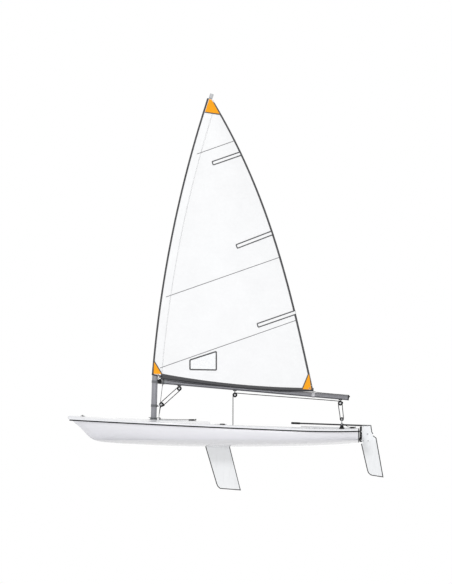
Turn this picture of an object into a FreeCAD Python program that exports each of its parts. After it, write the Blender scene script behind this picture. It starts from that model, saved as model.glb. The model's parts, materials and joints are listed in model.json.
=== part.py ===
import FreeCAD, Part
import math
import os
from FreeCAD import Vector

# Single-handed sailing dinghy: a decked round-bilge hull with a bending unstayed mast, a loose-footed
# sail on a luff sleeve, a lifting daggerboard and a lifting rudder.
# Frame: +X forward, +Y to port, +Z up.  The origin is on the centreline at the waterline, halfway along the
# waterline.  All sizes are in millimetres and all angles in degrees.

# ---------------------------------------------------------------- driving dimensions
TRANSOM_X = -1912.0
GUNWALE_OVERHANG = 12.0      # the rolled deck edge stands this far outside the topsides
GUNWALE_DEPTH = 28.0         # height of the rolled deck edge above the sheer
ROLL_RADIUS = 19.0
MOST_CROWN = 0.12            # greatest rise of the deck's crown, as a share of its half width
STRIP_HEIGHT = 18.0          # dark strip under the rolled edge

# sheer: the line where the deck meets the hull, as two arcs that share the third point (x, z)
SHEER = [(2300, 298), (670, 213), (-900, 144), (-1450, 129.5), (-1920, 133.5)]

# hull sections: x, keel z, bilge corner y, bilge corner z, half beam at the sheer
HULL_SECTIONS = [
    (TRANSOM_X, -36, 418, 2, 497),
    (-1200, -79, 548, -34, 606),
    (-500, -92.5, 602, -46, 666),
    (200, -95, 604, -46, 679),
    (800, -83, 553, -33, 643),
    (1300, -61, 420, -4, 540),
    (1700, -35, 248, 38, 399),
    (1900, 0, 162, 84, 300),
    (2040, 110, 104, 176, 213),
    (2140, 209, 62, 248, 137),
    (2226, 306, 32, 324, 58),
]
BILGE_ROUNDING = 0.86        # tangent length of the bilge arc, as a share of the topside below the sheer
SECTION_RISE = 45.0          # the raw sections run this far above the sheer before they are trimmed

# deck sections: x, half width, crown z on the centreline
DECK_SECTIONS = [
    (TRANSOM_X, 509, 175),
    (-1200, 618, 186),
    (-500, 678, 206),
    (200, 691, 229),
    (800, 655, 259),
    (1300, 552, 290),
    (1700, 411, 319),
    (2000, 252, 338),
    (2180, 119, 349),
    (2262, 53, 351),
]
DECK_DEPTH = 110.0           # the raw deck sections run this far below the sheer before they are trimmed
NOSE = (2217.0, 70.0, 302.0, 352.0)   # centre x, radius, underside z and top z of the rounded bow

# raised parts of the deck beside the cockpit: x, half width, edge z, crown z
FOREDECK_HUMP = [(223, 430, 219, 277), (680, 420, 243, 285), (1150, 330, 270, 301.5), (1600, 180, 304, 320)]
AFT_DECK_HUMP = [(-1060, 400, 172, 207), (-1500, 380, 168, 190), (-1860, 300, 164, 176.5)]
COAMING_RAKE = (36.0, 49.0)  # run and rise of the sloping coaming face at the end of the foredeck
AFT_STEP_RAKE = (26.0, 18.0) # run and rise of the sloping step up to the aft deck

# cockpit: front and aft x, half width and corner radius, at the floor and at a level above the deck
COCKPIT_FLOOR_Z = 20.0
COCKPIT_TOP_Z = 320.0
COCKPIT_FLOOR = (-62, -1010, 262, 70)
COCKPIT_TOP = (-8, -1075, 345, 95)
LINER = 6.0
COCKPIT_RIM_RADIUS = 12.0
COCKPIT_FOOT_RADIUS = 26.0   # rounding where the walls meet the floor

# mast
MAST_RAKE = 1.8              # aft lean of the straight lower part
MAST_AT_DECK = (1049.0, 317.0)
LOWER_MAST_R = 42.0
UPPER_MAST_R = 25.5
MAST_FOOT_Z = -50.0
FOOT_GAP = 0.4               # air under the mast's foot, in the step
MAST_BEND_Z = 830.0          # where the straight part ends
BEND_RADIUS = 4000.0
BEND_ANGLE = 3.12
LUFF_RADIUS = 17136.0        # radius of the bent spar's centreline inside the sleeve
LOWER_ARC_ANGLE = 2.35       # stretch of that bend that the lower mast covers
UPPER_ARC_ANGLE = 11.03
SLEEVE_R = 46.0
RUNNING_CLEARANCE = 0.06

# sail (x, z)
LUFF_TO_SPAR = 45.0
CLEW = (-1238.0, 702.0)
HEAD_AFT = (212.0, 4899.0)
LEECH_ROACH = 204.0
SAIL_THICKNESS = 3.0
# sail sections: share of the height, depth to port, sag below the chord
SAIL_SECTIONS = [
    (0.0, 112, 56),
    (0.10, 128, 22),
    (0.28, 145, 0),
    (0.50, 138, 0),
    (0.72, 104, 0),
    (0.90, 50, 0),
    (1.0, 6, 0),
]

# boom (x, z)
BOOM_FRONT = (928.0, 842.4)
BOOM_AFT = (-1764.0, 605.0)
BOOM_R = 35.0
GOOSENECK_Z = 843.0

# daggerboard, in the plane of x and z
BOARD_RAKE = 13.97           # aft lean of the board and its trunk
BOARD_AFT_AT_HULL = (-50.0, -101.0)
BOARD_FORE_AT_HULL = (305.0, -101.0)
BOARD_CHORD = 344.5
BOARD_HALF_THICKNESS = 16.0
# leading edge points towards the tip and the half thickness there, then the end's two corners
BOARD_TIP = [((147, -634), 15.0), ((129, -672), 12.0)]
BOARD_END = ((94, -703), (-209, -727), 7.0)
FOIL_EDGE = 1.5              # half thickness of a trailing edge
BOARD_TOP_Z = 228.0
TRUNK_CLEARANCE = 5.0
TRUNK_WALL = 6.0
BRIDGE_DECK_Z = 226.0
TRUNK_CAP = 3.5
NOTCH = (425.0, -6.0, 60.0)  # front x, aft x and half width of the flat bridge deck around the slot

# rudder
PINTLE_X = -1932.0
PINTLE_R = 4.0
GUDGEONS = [("upper", 122.0), ("lower", -4.0)]
GUDGEON_HALF_HEIGHT = 9.0
HEAD_FRONT_X = -1950.0
HEAD_TOP_Z = 216.0
HEAD_LOW_Z = -30.0
BAR_FRONT_X = -1920.0        # the pintle bar on the head's front edge: its front, top, half width and spine
BAR_TOP_Z = 195.0
BAR_HALF_WIDTH = 8.0
BAR_SPINE = 4.0
CHEEK_INNER_Y = 13.0
CHEEK_OUTER_Y = 18.0
BLADE_HALF_THICKNESS = 12.0
BLADE_BOLT = (-2028.0, 85.0)
BLADE_BOLT_R = 5.0
BLADE_HUB_R = 62.0
# blade sections below the head: leading point, trailing point and half thickness
BLADE_SECTIONS = [
    ((-1937, -58), (-2175.5, -58), 12.0),
    ((-2023, -432), (-2241.8, -432), 10.5),
    ((-2037, -472), (-2249, -472), 9.0),
    ((-2066, -504), (-2255, -504), 7.5),
    ((-2095, -514), (-2261, -540), 5.0),
]

# tiller: x and z at its tip and at its aft end
TILLER_TIP = (-932.0, 244.0)
TILLER_END = (-2040.0, 205.8)
TILLER_R = 11.0
GRIP_LENGTH = 128.0
GRIP_R = 16.0

BLOCK_R = 32.0

# fittings
COLLAR_TOP_Z = 325.0
STEP_SPLIT_Z = 60.0
BOW_EYE_X = (2038.0, 2110.0)
BOW_EYE_Z = 344.0
BOW_EYE_R = 4.0
CONTROL_CLEATS_X = (454.0, 547.0)
CONTROL_CLEATS_Z = 287.0
MAST_BLOCKS = (959.0, 301.0)  # x of the row of small blocks behind the mast, and z of their base
SIDE_CLEAT = (60.0, 430.0)
RAIL_X = (-150.0, -430.0)
RAIL_Z = 160.0
RAIL_R = 9.0
RAIL_STAND_OFF = 38.0
STRAP_WIDTH = 50.0
STRAP_THICKNESS = 4.0
STRAP_ROUTE = [(-190, 20), (-230, 62), (-320, 92), (-1024, 104)]
TRAVELLER_X = -1660.0
TRAVELLER_Y = 430.0
TRAVELLER_TOP_Z = 235.0
TRAVELLER_BASE = 80.0
TRAVELLER_BLOCK_Z = 300.0
TRAVELLER_CLEAT = (-1810.0, 200.0)
BAILER_X = -860.0
BAILER_R = 22.0
PLUG = (140.0, 20.0)
COCKPIT_BLOCK = (-120.0, 92.0)
VANG_MAST_BLOCK = (937.0, 510.0)
VANG_SHACKLE = 40.0          # reach of the mast block's shackle towards the mast
VANG_BOOM_BLOCK = (680.0, 742.0)
MID_BOOM_BLOCK = (-121.0, 649.0)
AFT_BOOM_BLOCK = (-1639.0, 530.0)
HANDLE_TOP_Z = 270.0

OUT = "parts"
os.makedirs(OUT, exist_ok=True)


# ---------------------------------------------------------------- small helpers
def xz(point, y=0.0):
    """Point of the centre plane, given as (x, z), as a vector."""
    return Vector(point[0], y, point[1])


def box(x0, x1, y0, y1, z0, z1):
    """Axis-aligned box between two corners."""
    return Part.makeBox(x1 - x0, y1 - y0, z1 - z0, Vector(x0, y0, z0))


def rod(start, end, radius):
    """Round bar between two points."""
    along = end - start
    return Part.makeCylinder(radius, along.Length, start, along)


def fused(shapes):
    """One solid from pieces that overlap or touch."""
    shape = shapes[0]
    for other in shapes[1:]:
        shape = shape.fuse(other)
    return shape.removeSplitter()


def plate(points, half_thickness, y=0.0):
    """Flat plate of the outline points (x, z), standing in the fore and aft plane."""
    corners = [xz(point, y - half_thickness) for point in points]
    face = Part.Face(Part.makePolygon(corners + corners[:1]))
    return face.extrude(Vector(0, 2 * half_thickness, 0))


def circle_centre(a, b, c):
    """Centre of the circle through three points of a plane."""
    d = 2 * (a[0] * (b[1] - c[1]) + b[0] * (c[1] - a[1]) + c[0] * (a[1] - b[1]))
    aa, bb, cc = (p[0] ** 2 + p[1] ** 2 for p in (a, b, c))
    u = (aa * (b[1] - c[1]) + bb * (c[1] - a[1]) + cc * (a[1] - b[1])) / d
    v = (aa * (c[0] - b[0]) + bb * (a[0] - c[0]) + cc * (b[0] - a[0])) / d
    return u, v


def sheer_z(x):
    """Height of the sheer at x."""
    three = SHEER[:3] if x > SHEER[2][0] else SHEER[2:]
    cx, cz = circle_centre(*three)
    radius = math.hypot(three[0][0] - cx, three[0][1] - cz)
    return cz - math.sqrt(radius ** 2 - (x - cx) ** 2)


def edge_through(points):
    """Straight edge through two points, or an arc through three."""
    if len(points) == 2:
        return Part.makeLine(*points)
    return Part.Arc(*points).toShape()


def ring(runs):
    """Closed wire of runs of two or three points, each starting where the last one ends."""
    return Part.Wire([edge_through(run) for run in runs])


def to_starboard(point):
    """Mirror image of a point across the centre plane."""
    return Vector(point.x, -point.y, point.z)


def symmetric_ring(port_runs):
    """Closed wire of the port runs, from the keel upwards, and their mirror images on the way back."""
    top = port_runs[-1][-1]
    low = port_runs[0][0]
    runs = list(port_runs)
    runs.append([top, to_starboard(top)])
    runs += [[to_starboard(point) for point in reversed(run)] for run in reversed(port_runs)]
    if abs(low.y) > 0:
        runs.append([to_starboard(low), low])
    return ring(runs)


def save(name, shape):
    """Write one node's file and print what it holds."""
    if not shape.isValid():
        print("INVALID", name)
    shape.exportStep(os.path.join(OUT, name + ".step"))
    print(name, "solids", len(shape.Solids), "litres", round(shape.Volume / 1e6, 4))


# ---------------------------------------------------------------- hull and deck
def below_sheer():
    """All the space under the sheer, as a prism across the boat."""
    points = [xz(point, -900) for point in SHEER]
    fore = Part.Arc(points[0], points[1], points[2]).toShape()
    aft = Part.Arc(points[2], points[3], points[4]).toShape()
    low = [Vector(SHEER[-1][0], -900, -400), Vector(SHEER[0][0], -900, -400)]
    sides = [
        Part.makeLine(points[4], low[0]),
        Part.makeLine(low[0], low[1]),
        Part.makeLine(low[1], points[0]),
    ]
    return Part.Face(Part.Wire([fore, aft] + sides)).extrude(Vector(0, 1800, 0))


def hull_section(x, keel, corner_y, corner_z, beam):
    """Wire of one hull section: bottom arc, bilge arc and topside on each side, with a flat top."""
    sheer = sheer_z(x)
    corner = Vector(x, corner_y, corner_z)
    up = Vector(x, beam, sheer) - corner
    tangent = BILGE_ROUNDING * up.Length
    up.normalize()
    keel_point = Vector(x, 0, keel)
    bottom = corner - keel_point
    tangent = min(tangent, 0.8 * bottom.Length)
    slope = math.atan2(bottom.z, bottom.y)
    steep = slope + math.radians(2.5)
    start = corner - Vector(0, math.cos(steep), math.sin(steep)) * tangent
    end = corner + up * tangent
    out = Vector(0, math.cos(steep), math.sin(steep))
    bisector = (up - out).normalize()
    half_turn = out.getAngle(up) / 2
    radius = tangent / math.tan(half_turn)
    depth = radius / math.cos(half_turn) - radius
    middle = corner + bisector * depth
    chord = start - keel_point
    rise = math.atan2(chord.z, chord.y)
    sag = chord.Length / 2 * math.tan((steep - rise) / 2)
    low = keel_point + chord * 0.5 + Vector(0, math.sin(rise), -math.cos(rise)) * sag
    top = end + up * ((sheer + SECTION_RISE - end.z) / up.z)
    return symmetric_ring([[keel_point, low, start], [start, middle, end], [end, top]])


def deck_section(x, half_width, crown):
    """Wire of one deck section: crown, rolled edges, straight sides and a flat bottom."""
    top = max(sheer_z(x) + GUNWALE_DEPTH, crown - MOST_CROWN * half_width)
    cut = ROLL_RADIUS * (1 - math.sqrt(0.5))
    side = Vector(x, half_width, top - ROLL_RADIUS)
    bulge = Vector(x, half_width - cut, top - cut)
    edge = Vector(x, half_width - ROLL_RADIUS, top)
    low = Vector(x, half_width, sheer_z(x) - DECK_DEPTH)
    return ring([
        [low, side],
        [side, bulge, edge],
        [edge, Vector(x, 0, crown), to_starboard(edge)],
        [to_starboard(edge), to_starboard(bulge), to_starboard(side)],
        [to_starboard(side), to_starboard(low)],
        [to_starboard(low), low],
    ])


def bow_nose():
    """Rounded end of the deck at the bow, turned about an upright axis."""
    x, radius, low, high = NOSE
    cut = ROLL_RADIUS * (1 - math.sqrt(0.5))
    top = high - 6
    inner = Vector(x, radius - 10, low)
    outer = Vector(x, radius, low + 12)
    side = Vector(x, radius, top - ROLL_RADIUS)
    bulge = Vector(x, radius - cut, top - cut)
    edge = Vector(x, radius - ROLL_RADIUS, top)
    profile = ring([
        [Vector(x, 0, low), inner],
        [inner, outer],
        [outer, side],
        [side, bulge, edge],
        [edge, Vector(x, 0, high)],
        [Vector(x, 0, high), Vector(x, 0, low)],
    ])
    return Part.Face(profile).revolve(Vector(x, 0, 0), Vector(0, 0, 1), 360)


def hump(sections):
    """Low crowned mound on the deck from sections of x, half width, edge z and crown z."""
    wires = []
    for x, half_width, edge_z, crown in sections:
        port = Vector(x, half_width, edge_z)
        foot = Vector(x, half_width, edge_z - 50)
        wires.append(ring([
            [foot, port],
            [port, Vector(x, 0, crown), to_starboard(port)],
            [to_starboard(port), to_starboard(foot)],
            [to_starboard(foot), foot],
        ]))
    return Part.makeLoft(wires, True, False, False, 3)


def rounded_rectangle(front, aft, half_width, radius, z):
    """Closed wire in plan with round corners."""
    cut = radius * (1 - math.sqrt(0.5))
    inner_y = half_width - radius

    def corner(x, way, hand):
        return [
            Vector(x, hand * inner_y, z),
            Vector(x - way * cut, hand * (half_width - cut), z),
            Vector(x - way * radius, hand * half_width, z),
        ]

    front_port, front_starboard = corner(front, 1, 1), corner(front, 1, -1)
    aft_port, aft_starboard = corner(aft, -1, 1), corner(aft, -1, -1)
    return ring([
        [front_starboard[0], front_port[0]],
        front_port,
        [front_port[2], aft_port[2]],
        aft_port[::-1],
        [aft_port[0], aft_starboard[0]],
        aft_starboard,
        [aft_starboard[2], front_starboard[2]],
        front_starboard[::-1],
    ])


def cockpit_space(grow):
    """The cockpit's hollow, grown outwards and downwards by a wall thickness."""
    wires = []
    for level, (front, aft, half_width, radius) in (
        (COCKPIT_FLOOR_Z - grow, COCKPIT_FLOOR),
        (COCKPIT_TOP_Z, COCKPIT_TOP),
    ):
        wires.append(rounded_rectangle(front + grow, aft - grow, half_width + grow, radius, level))
    space = Part.makeLoft(wires, True, True)
    low = [edge for edge in space.Edges if edge.BoundBox.ZMax < COCKPIT_FLOOR_Z + 1]
    return space.makeFillet(COCKPIT_FOOT_RADIUS + grow, low)


def rim_edges(deck):
    """Edges of the deck where the cockpit's walls come through its top."""
    front, aft, half_width = COCKPIT_TOP[:3]
    found = []
    for edge in deck.Edges:
        middle = edge.valueAt((edge.FirstParameter + edge.LastParameter) / 2)
        box_ = edge.BoundBox
        upright = box_.XLength < 8 and box_.YLength < 8
        inside = aft < middle.x < front - 10 and abs(middle.y) < half_width
        low_side = middle.z < sheer_z(middle.x) + 20
        if inside and edge.Length > 20 and not upright and not low_side and box_.XMin > aft + 20:
            found.append(edge)
    return found


# ---------------------------------------------------------------- daggerboard directions
BOARD_UP = Vector(math.sin(math.radians(BOARD_RAKE)), 0, math.cos(math.radians(BOARD_RAKE)))


def on_board_line(start, z):
    """Point at height z on the line through start (x, z) that runs along the board."""
    return (start[0] + (z - start[1]) * math.tan(math.radians(BOARD_RAKE)), z)


def slot_prism(grow, z0, z1):
    """Prism along the board's travel whose plan is the slot grown outwards, between two levels."""
    half = BOARD_HALF_THICKNESS + TRUNK_CLEARANCE + grow
    stretch = math.cos(math.radians(BOARD_RAKE))
    front = on_board_line(BOARD_FORE_AT_HULL, z0)[0] + (TRUNK_CLEARANCE + grow) / stretch
    aft = on_board_line(BOARD_AFT_AT_HULL, z0)[0] - (TRUNK_CLEARANCE + grow) / stretch
    wire = rounded_rectangle(front, aft, half, half * 0.55, z0)
    return Part.Face(wire).extrude(BOARD_UP * ((z1 - z0) / BOARD_UP.z))


# ---------------------------------------------------------------- spar path
def bend_centre(point, heading, radius):
    """Centre of the bend that starts at point with the given aft lean."""
    a = math.radians(heading)
    return (point[0] - radius * math.cos(a), point[1] - radius * math.sin(a))


def along_bend(centre, radius, heading):
    """Point of a bend where its aft lean is heading."""
    a = math.radians(heading)
    return (centre[0] + radius * math.cos(a), centre[1] + radius * math.sin(a))


def bent_bar(centre, radius, start, end, r):
    """Round bar along a bend between two aft leans."""
    a = math.radians(start)
    direction = Vector(-math.sin(a), 0, math.cos(a))
    disc = Part.Face(Part.Wire(Part.makeCircle(r, xz(along_bend(centre, radius, start)), direction)))
    return disc.revolve(xz(centre), Vector(0, -1, 0), end - start)


RAKE = math.radians(MAST_RAKE)
MAST_AXIS = Vector(-math.sin(RAKE), 0, math.cos(RAKE))


def mast_point(z):
    """Point of the straight mast's axis at height z."""
    return Vector(MAST_AT_DECK[0] - (z - MAST_AT_DECK[1]) * math.tan(RAKE), 0, z)


STRAIGHT_END = mast_point(MAST_BEND_Z)
BEND_CENTRE = bend_centre((STRAIGHT_END.x, STRAIGHT_END.z), MAST_RAKE, BEND_RADIUS)
LEAN_1 = MAST_RAKE + BEND_ANGLE
BEND_END = along_bend(BEND_CENTRE, BEND_RADIUS, LEAN_1)
LUFF_CENTRE = bend_centre(BEND_END, LEAN_1, LUFF_RADIUS)
LEAN_2 = LEAN_1 + LOWER_ARC_ANGLE
LEAN_3 = LEAN_2 + UPPER_ARC_ANGLE


def luff_point(share, off=LUFF_TO_SPAR):
    """Point (x, z) of the luff at a share of its height, off the spar's centreline by the given distance."""
    lean = SAIL_LOW_LEAN + share * (SAIL_HIGH_LEAN - SAIL_LOW_LEAN)
    return along_bend(LUFF_CENTRE, LUFF_RADIUS + off, lean)


SAIL_LOW_LEAN = LEAN_1 - 0.30
SAIL_HIGH_LEAN = LEAN_3 - 0.17


def leech_point(share):
    """Point (x, z) of the leech at a share of its height."""
    x = CLEW[0] + (HEAD_AFT[0] - CLEW[0]) * share
    z = CLEW[1] + (HEAD_AFT[1] - CLEW[1]) * share
    return (x - 4 * share * (1 - share) * LEECH_ROACH * (1 + 0.7 * (share - 0.5)), z)


# ---------------------------------------------------------------- hull body
def build_hull_mouldings():
    """Hull shell, deck, cockpit liner and gunwale strip."""
    under = below_sheer()
    hull_block = Part.makeLoft([hull_section(*row) for row in HULL_SECTIONS], True, False, False, 3)
    hull = hull_block.common(under)
    strip = Part.makeLoft([deck_section(*row) for row in DECK_SECTIONS], True, False, False, 3)
    deck = strip.cut(under).fuse(bow_nose())
    band = strip.common(under).cut(under.translated(Vector(0, 0, -STRIP_HEIGHT)))
    band = band.cut(hull_block)
    deck = deck.fuse(hump(FOREDECK_HUMP)).fuse(hump(AFT_DECK_HUMP))

    run, rise = COAMING_RAKE
    front, aft, half = NOTCH
    top = FOREDECK_HUMP[0][3]
    wedge = plate([
        (FOREDECK_HUMP[0][0] - 1, top - rise),
        (FOREDECK_HUMP[0][0] - 1, top + 5),
        (FOREDECK_HUMP[0][0] + run * (rise + 5) / rise, top + 5),
    ], 700)
    pad = rounded_prism(front, aft, half, half - 1, BRIDGE_DECK_Z - 40, BRIDGE_DECK_Z)
    above_pad = rounded_prism(front, aft, half, half - 1, BRIDGE_DECK_Z, BRIDGE_DECK_Z + 100)
    run, rise = AFT_STEP_RAKE
    step_x = AFT_DECK_HUMP[0][0]
    low = AFT_DECK_HUMP[0][3] - rise
    aft_wedge = plate([(step_x + 1, low), (step_x + 1, low + 60), (step_x - run * 60 / rise, low + 60)], 700)
    deck = deck.cut(wedge).cut(aft_wedge).fuse(pad).cut(above_pad).cut(under)
    cockpit = cockpit_space(0)
    deck = deck.cut(cockpit)
    deck = deck.makeFillet(COCKPIT_RIM_RADIUS, rim_edges(deck))
    liner = cockpit_space(LINER).cut(cockpit).common(under)
    hull = hull.cut(cockpit_space(LINER))
    return hull, deck, liner, band


def rounded_prism(front, aft, half_width, radius, z0, z1):
    """Upright prism with a rounded plan between two levels."""
    face = Part.Face(rounded_rectangle(front, aft, half_width, radius, z0))
    return face.extrude(Vector(0, 0, z1 - z0))


def build_trunk(hull, deck):
    """Daggerboard trunk with its cap, and the hull and deck cut for it."""
    low = -160.0
    outer = slot_prism(TRUNK_WALL, low, BRIDGE_DECK_Z)
    slot = slot_prism(0, low, BRIDGE_DECK_Z + 200)
    trunk = outer.common(hull.fuse(deck)).cut(slot)
    hull = hull.cut(slot_prism(TRUNK_WALL, low, 500))
    deck = deck.cut(slot_prism(TRUNK_WALL, low, 500))
    front, aft, half = NOTCH
    top = BRIDGE_DECK_Z + TRUNK_CAP
    cap = rounded_prism(front - 12, aft + 8, half - 18, half - 20, BRIDGE_DECK_Z, top)
    return hull, deck, trunk, cap.cut(slot)


def clear_deck(x, y):
    """Height of the bare deck at a place in plan, from the crown and edge of the nearest two sections."""
    rows = DECK_SECTIONS
    for low, high in zip(rows, rows[1:]):
        if low[0] <= x <= high[0]:
            share = (x - low[0]) / (high[0] - low[0])
            half_width = low[1] + share * (high[1] - low[1])
            crown = low[2] + share * (high[2] - low[2])
            edge = sheer_z(x) + GUNWALE_DEPTH
            return crown - (crown - edge) * (y / half_width) ** 2
    return rows[-1][2]


def build_mast_bearings(hull, deck):
    """Mast step in the hull and collar at the deck, which the mast turns in."""
    foot = mast_point(MAST_FOOT_Z)
    sleeve_r = LOWER_MAST_R + 8
    top = mast_point(COLLAR_TOP_Z)
    hole = rod(foot - MAST_AXIS * 10, mast_point(500), sleeve_r)
    hull = hull.cut(hole)
    deck = deck.cut(hole)
    tube = rod(foot - MAST_AXIS * 10, top, sleeve_r)
    flange = rod(mast_point(COLLAR_TOP_Z - 10), top, sleeve_r + 22)
    bore = rod(foot - MAST_AXIS * FOOT_GAP, mast_point(500), LOWER_MAST_R + RUNNING_CLEARANCE)
    step = tube.fuse(flange).cut(bore)
    low = box(foot.x - 300, foot.x + 300, -300, 300, -200, STEP_SPLIT_Z)
    flange_part = step.cut(low)
    cup = step.common(low)
    return hull, deck.cut(flange_part), cup, flange_part


def bow_eye():
    """Eye plate for the painter, near the bow."""
    x0, x1 = BOW_EYE_X
    z = BOW_EYE_Z
    base = box(x0, x1, -11, 11, z - 3, z + 3)
    middle = (x0 + x1) / 2
    tab = plate([
        (middle - 16, z + 2),
        (middle + 16, z + 2),
        (middle + 9, z + 16),
        (middle - 9, z + 16),
    ], 2.5)
    hole = rod(Vector(middle, -10, z + 8.5), Vector(middle, 10, z + 8.5), BOW_EYE_R)
    return base.fuse(tab).cut(hole)


def clam_cleat(x, y, z, length, angle=0.0):
    """Jaw cleat: a base with two ridges and a groove between them."""
    body = fused([
        box(x - length / 2, x + length / 2, y - 13, y + 13, z - 6, z + 4),
        box(x - length / 2 + 5, x + length / 2 - 5, y - 12, y - 4, z + 3, z + 13),
        box(x - length / 2 + 5, x + length / 2 - 5, y + 4, y + 12, z + 3, z + 13),
    ])
    if angle:
        body.rotate(Vector(x, y, z), Vector(0, 0, 1), angle)
    return body


def sheave_block(x, y, z, radius=BLOCK_R, half=11.0, axis=Vector(0, 1, 0)):
    """Rope block: two cheeks and a grooved wheel on one pin."""
    groove = radius - 8
    cheek = 3.0
    flank = half - cheek - 5
    corners = [
        (0, -half), (radius, -half), (radius, cheek - half), (groove, -flank),
        (groove, flank), (radius, half - cheek), (radius, half), (0, half), (0, -half),
    ]
    outline = Part.makePolygon([Vector(out, 0, up) for out, up in corners])
    body = Part.Face(outline).revolve(Vector(0, 0, 0), Vector(0, 0, 1), 360)
    body.Placement = FreeCAD.Placement(Vector(x, y, z), FreeCAD.Rotation(Vector(0, 0, 1), axis))
    return body


def grab_rail(hand):
    """Tube handle on the cockpit side wall."""
    z = RAIL_Z
    wall = COCKPIT_FLOOR[2] + (COCKPIT_TOP[2] - COCKPIT_FLOOR[2]) * (z - COCKPIT_FLOOR_Z) / (
        COCKPIT_TOP_Z - COCKPIT_FLOOR_Z)
    y_bar = hand * (wall - RAIL_STAND_OFF)
    y_foot = hand * (wall + 2)
    front, aft = RAIL_X
    return fused([
        rod(Vector(front, y_bar, z), Vector(aft, y_bar, z), RAIL_R),
        rod(Vector(front, y_bar, z), Vector(front, y_foot, z), RAIL_R),
        rod(Vector(aft, y_bar, z), Vector(aft, y_foot, z), RAIL_R),
        Part.makeSphere(RAIL_R, Vector(front, y_bar, z)),
        Part.makeSphere(RAIL_R, Vector(aft, y_bar, z)),
    ])


def hiking_strap():
    """Webbing strap along the cockpit, under which the feet go."""
    t = STRAP_THICKNESS
    over = [(x, z + t) for x, z in reversed(STRAP_ROUTE)]
    return plate(STRAP_ROUTE + over, STRAP_WIDTH / 2)


def traveller_stand(hand, deck):
    """Three-cornered fairlead stand that holds the traveller rope above the tiller."""
    y = hand * TRAVELLER_Y
    x = TRAVELLER_X
    low = clear_deck(x, y) - 6
    half = TRAVELLER_BASE / 2
    top = TRAVELLER_TOP_Z
    stand = plate([(x - half, low), (x + half, low), (x + 9, top), (x - 9, top)], 7, y)
    return stand.cut(deck)


def gudgeon(z):
    """Transom plate with the eye that a pintle turns in."""
    half = GUDGEON_HALF_HEIGHT
    plate_part = box(TRANSOM_X - 3, TRANSOM_X, -38, 38, z - half, z + half)
    arm = box(PINTLE_X, TRANSOM_X - 2, -8, 8, z - half, z + half)
    eye = Part.makeCylinder(9, 2 * half, Vector(PINTLE_X, 0, z - half))
    bore = Part.makeCylinder(PINTLE_R + RUNNING_CLEARANCE, 2 * half + 2, Vector(PINTLE_X, 0, z - half - 1))
    return fused([plate_part, arm, eye]).cut(bore)


def main_hull():
    """Build and save the hull body."""
    hull, deck, liner, band = build_hull_mouldings()
    hull, deck, trunk, cap = build_trunk(hull, deck)
    hull, deck, cup, collar = build_mast_bearings(hull, deck)
    bailer_hole = rod(Vector(BAILER_X, 0, -150), Vector(BAILER_X, 0, COCKPIT_FLOOR_Z + 1), BAILER_R)
    bailer_body = bailer_hole.common(hull.fuse(liner))
    hull = hull.cut(bailer_hole)
    liner = liner.cut(bailer_hole)
    floor = COCKPIT_FLOOR_Z
    flange = rod(Vector(BAILER_X, 0, floor), Vector(BAILER_X, 0, floor + 3), BAILER_R + 9)
    bailer = bailer_body.fuse(flange).cut(liner)
    block_x, block_z = COCKPIT_BLOCK
    cockpit_block = fused([
        sheave_block(block_x, 0, block_z),
        Part.makeCylinder(13, block_z - floor - 20, Vector(block_x, 0, floor)),
        Part.makeCylinder(27, 5, Vector(block_x, 0, floor)),
    ])
    plug = rod(Vector(TRANSOM_X + 4, PLUG[0], PLUG[1]), Vector(TRANSOM_X - 7, PLUG[0], PLUG[1]), 15)
    eye = bow_eye().cut(deck)
    x0, x1 = CONTROL_CLEATS_X
    cleat_base = box(x0, x1, -62, 62, 262, CONTROL_CLEATS_Z)
    middle = (x0 + x1) / 2
    cleats = fused([
        cleat_base,
        clam_cleat(middle, 36, CONTROL_CLEATS_Z, 84),
        clam_cleat(middle, -36, CONTROL_CLEATS_Z, 84),
    ])
    x, z = MAST_BLOCKS
    sheaves = [sheave_block(x, y, z + 10, 13, 6) for y in (-28, 0, 28)]
    mast_blocks = fused([box(x - 16, x + 16, -46, 46, z - 24, z)] + sheaves)
    cleat_x, cleat_y = SIDE_CLEAT
    side_cleats = [
        clam_cleat(cleat_x, hand * cleat_y, clear_deck(cleat_x, cleat_y) + 3, 74, hand * 8).cut(deck)
        for hand in (1, -1)
    ]
    cleat_x, cleat_y = TRAVELLER_CLEAT
    traveller_cleat = clam_cleat(cleat_x, cleat_y, clear_deck(cleat_x, cleat_y) + 3, 66).cut(deck)
    parts = [
        ("hull_shell", hull.cut(plug).cut(cup)),
        ("deck", deck),
        ("cockpit_liner", liner),
        ("gunwale_strip", band),
        ("daggerboard_trunk", trunk),
        ("trunk_cap", cap),
        ("mast_step", cup),
        ("mast_collar", collar),
        ("self_bailer", bailer),
        ("drain_plug", plug),
        ("bow_eye", eye),
        ("control_cleats", cleats.cut(deck)),
        ("mast_base_blocks", mast_blocks.cut(deck)),
        ("mainsheet_cleat_port", side_cleats[0]),
        ("mainsheet_cleat_starboard", side_cleats[1]),
        ("traveller_cleat", traveller_cleat),
        ("cockpit_block", cockpit_block),
        ("grab_rail_port", grab_rail(1).cut(liner).cut(deck)),
        ("grab_rail_starboard", grab_rail(-1).cut(liner).cut(deck)),
        ("hiking_strap", hiking_strap()),
        ("traveller_stand_port", traveller_stand(1, deck)),
        ("traveller_stand_starboard", traveller_stand(-1, deck)),
        ("traveller_block", sheave_block(TRAVELLER_X, 0, TRAVELLER_BLOCK_Z, 28, 10)),
    ]
    parts += [(level + "_gudgeon", gudgeon(z)) for level, z in GUDGEONS]
    for name, shape in parts:
        save(name, shape)


# ---------------------------------------------------------------- rig body
def on_boom(x, below=0.0):
    """Point (x, z) of the boom's axis at x, or the given distance below it."""
    share = (x - BOOM_FRONT[0]) / (BOOM_AFT[0] - BOOM_FRONT[0])
    return (x, BOOM_FRONT[1] + share * (BOOM_AFT[1] - BOOM_FRONT[1]) - below)


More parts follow.
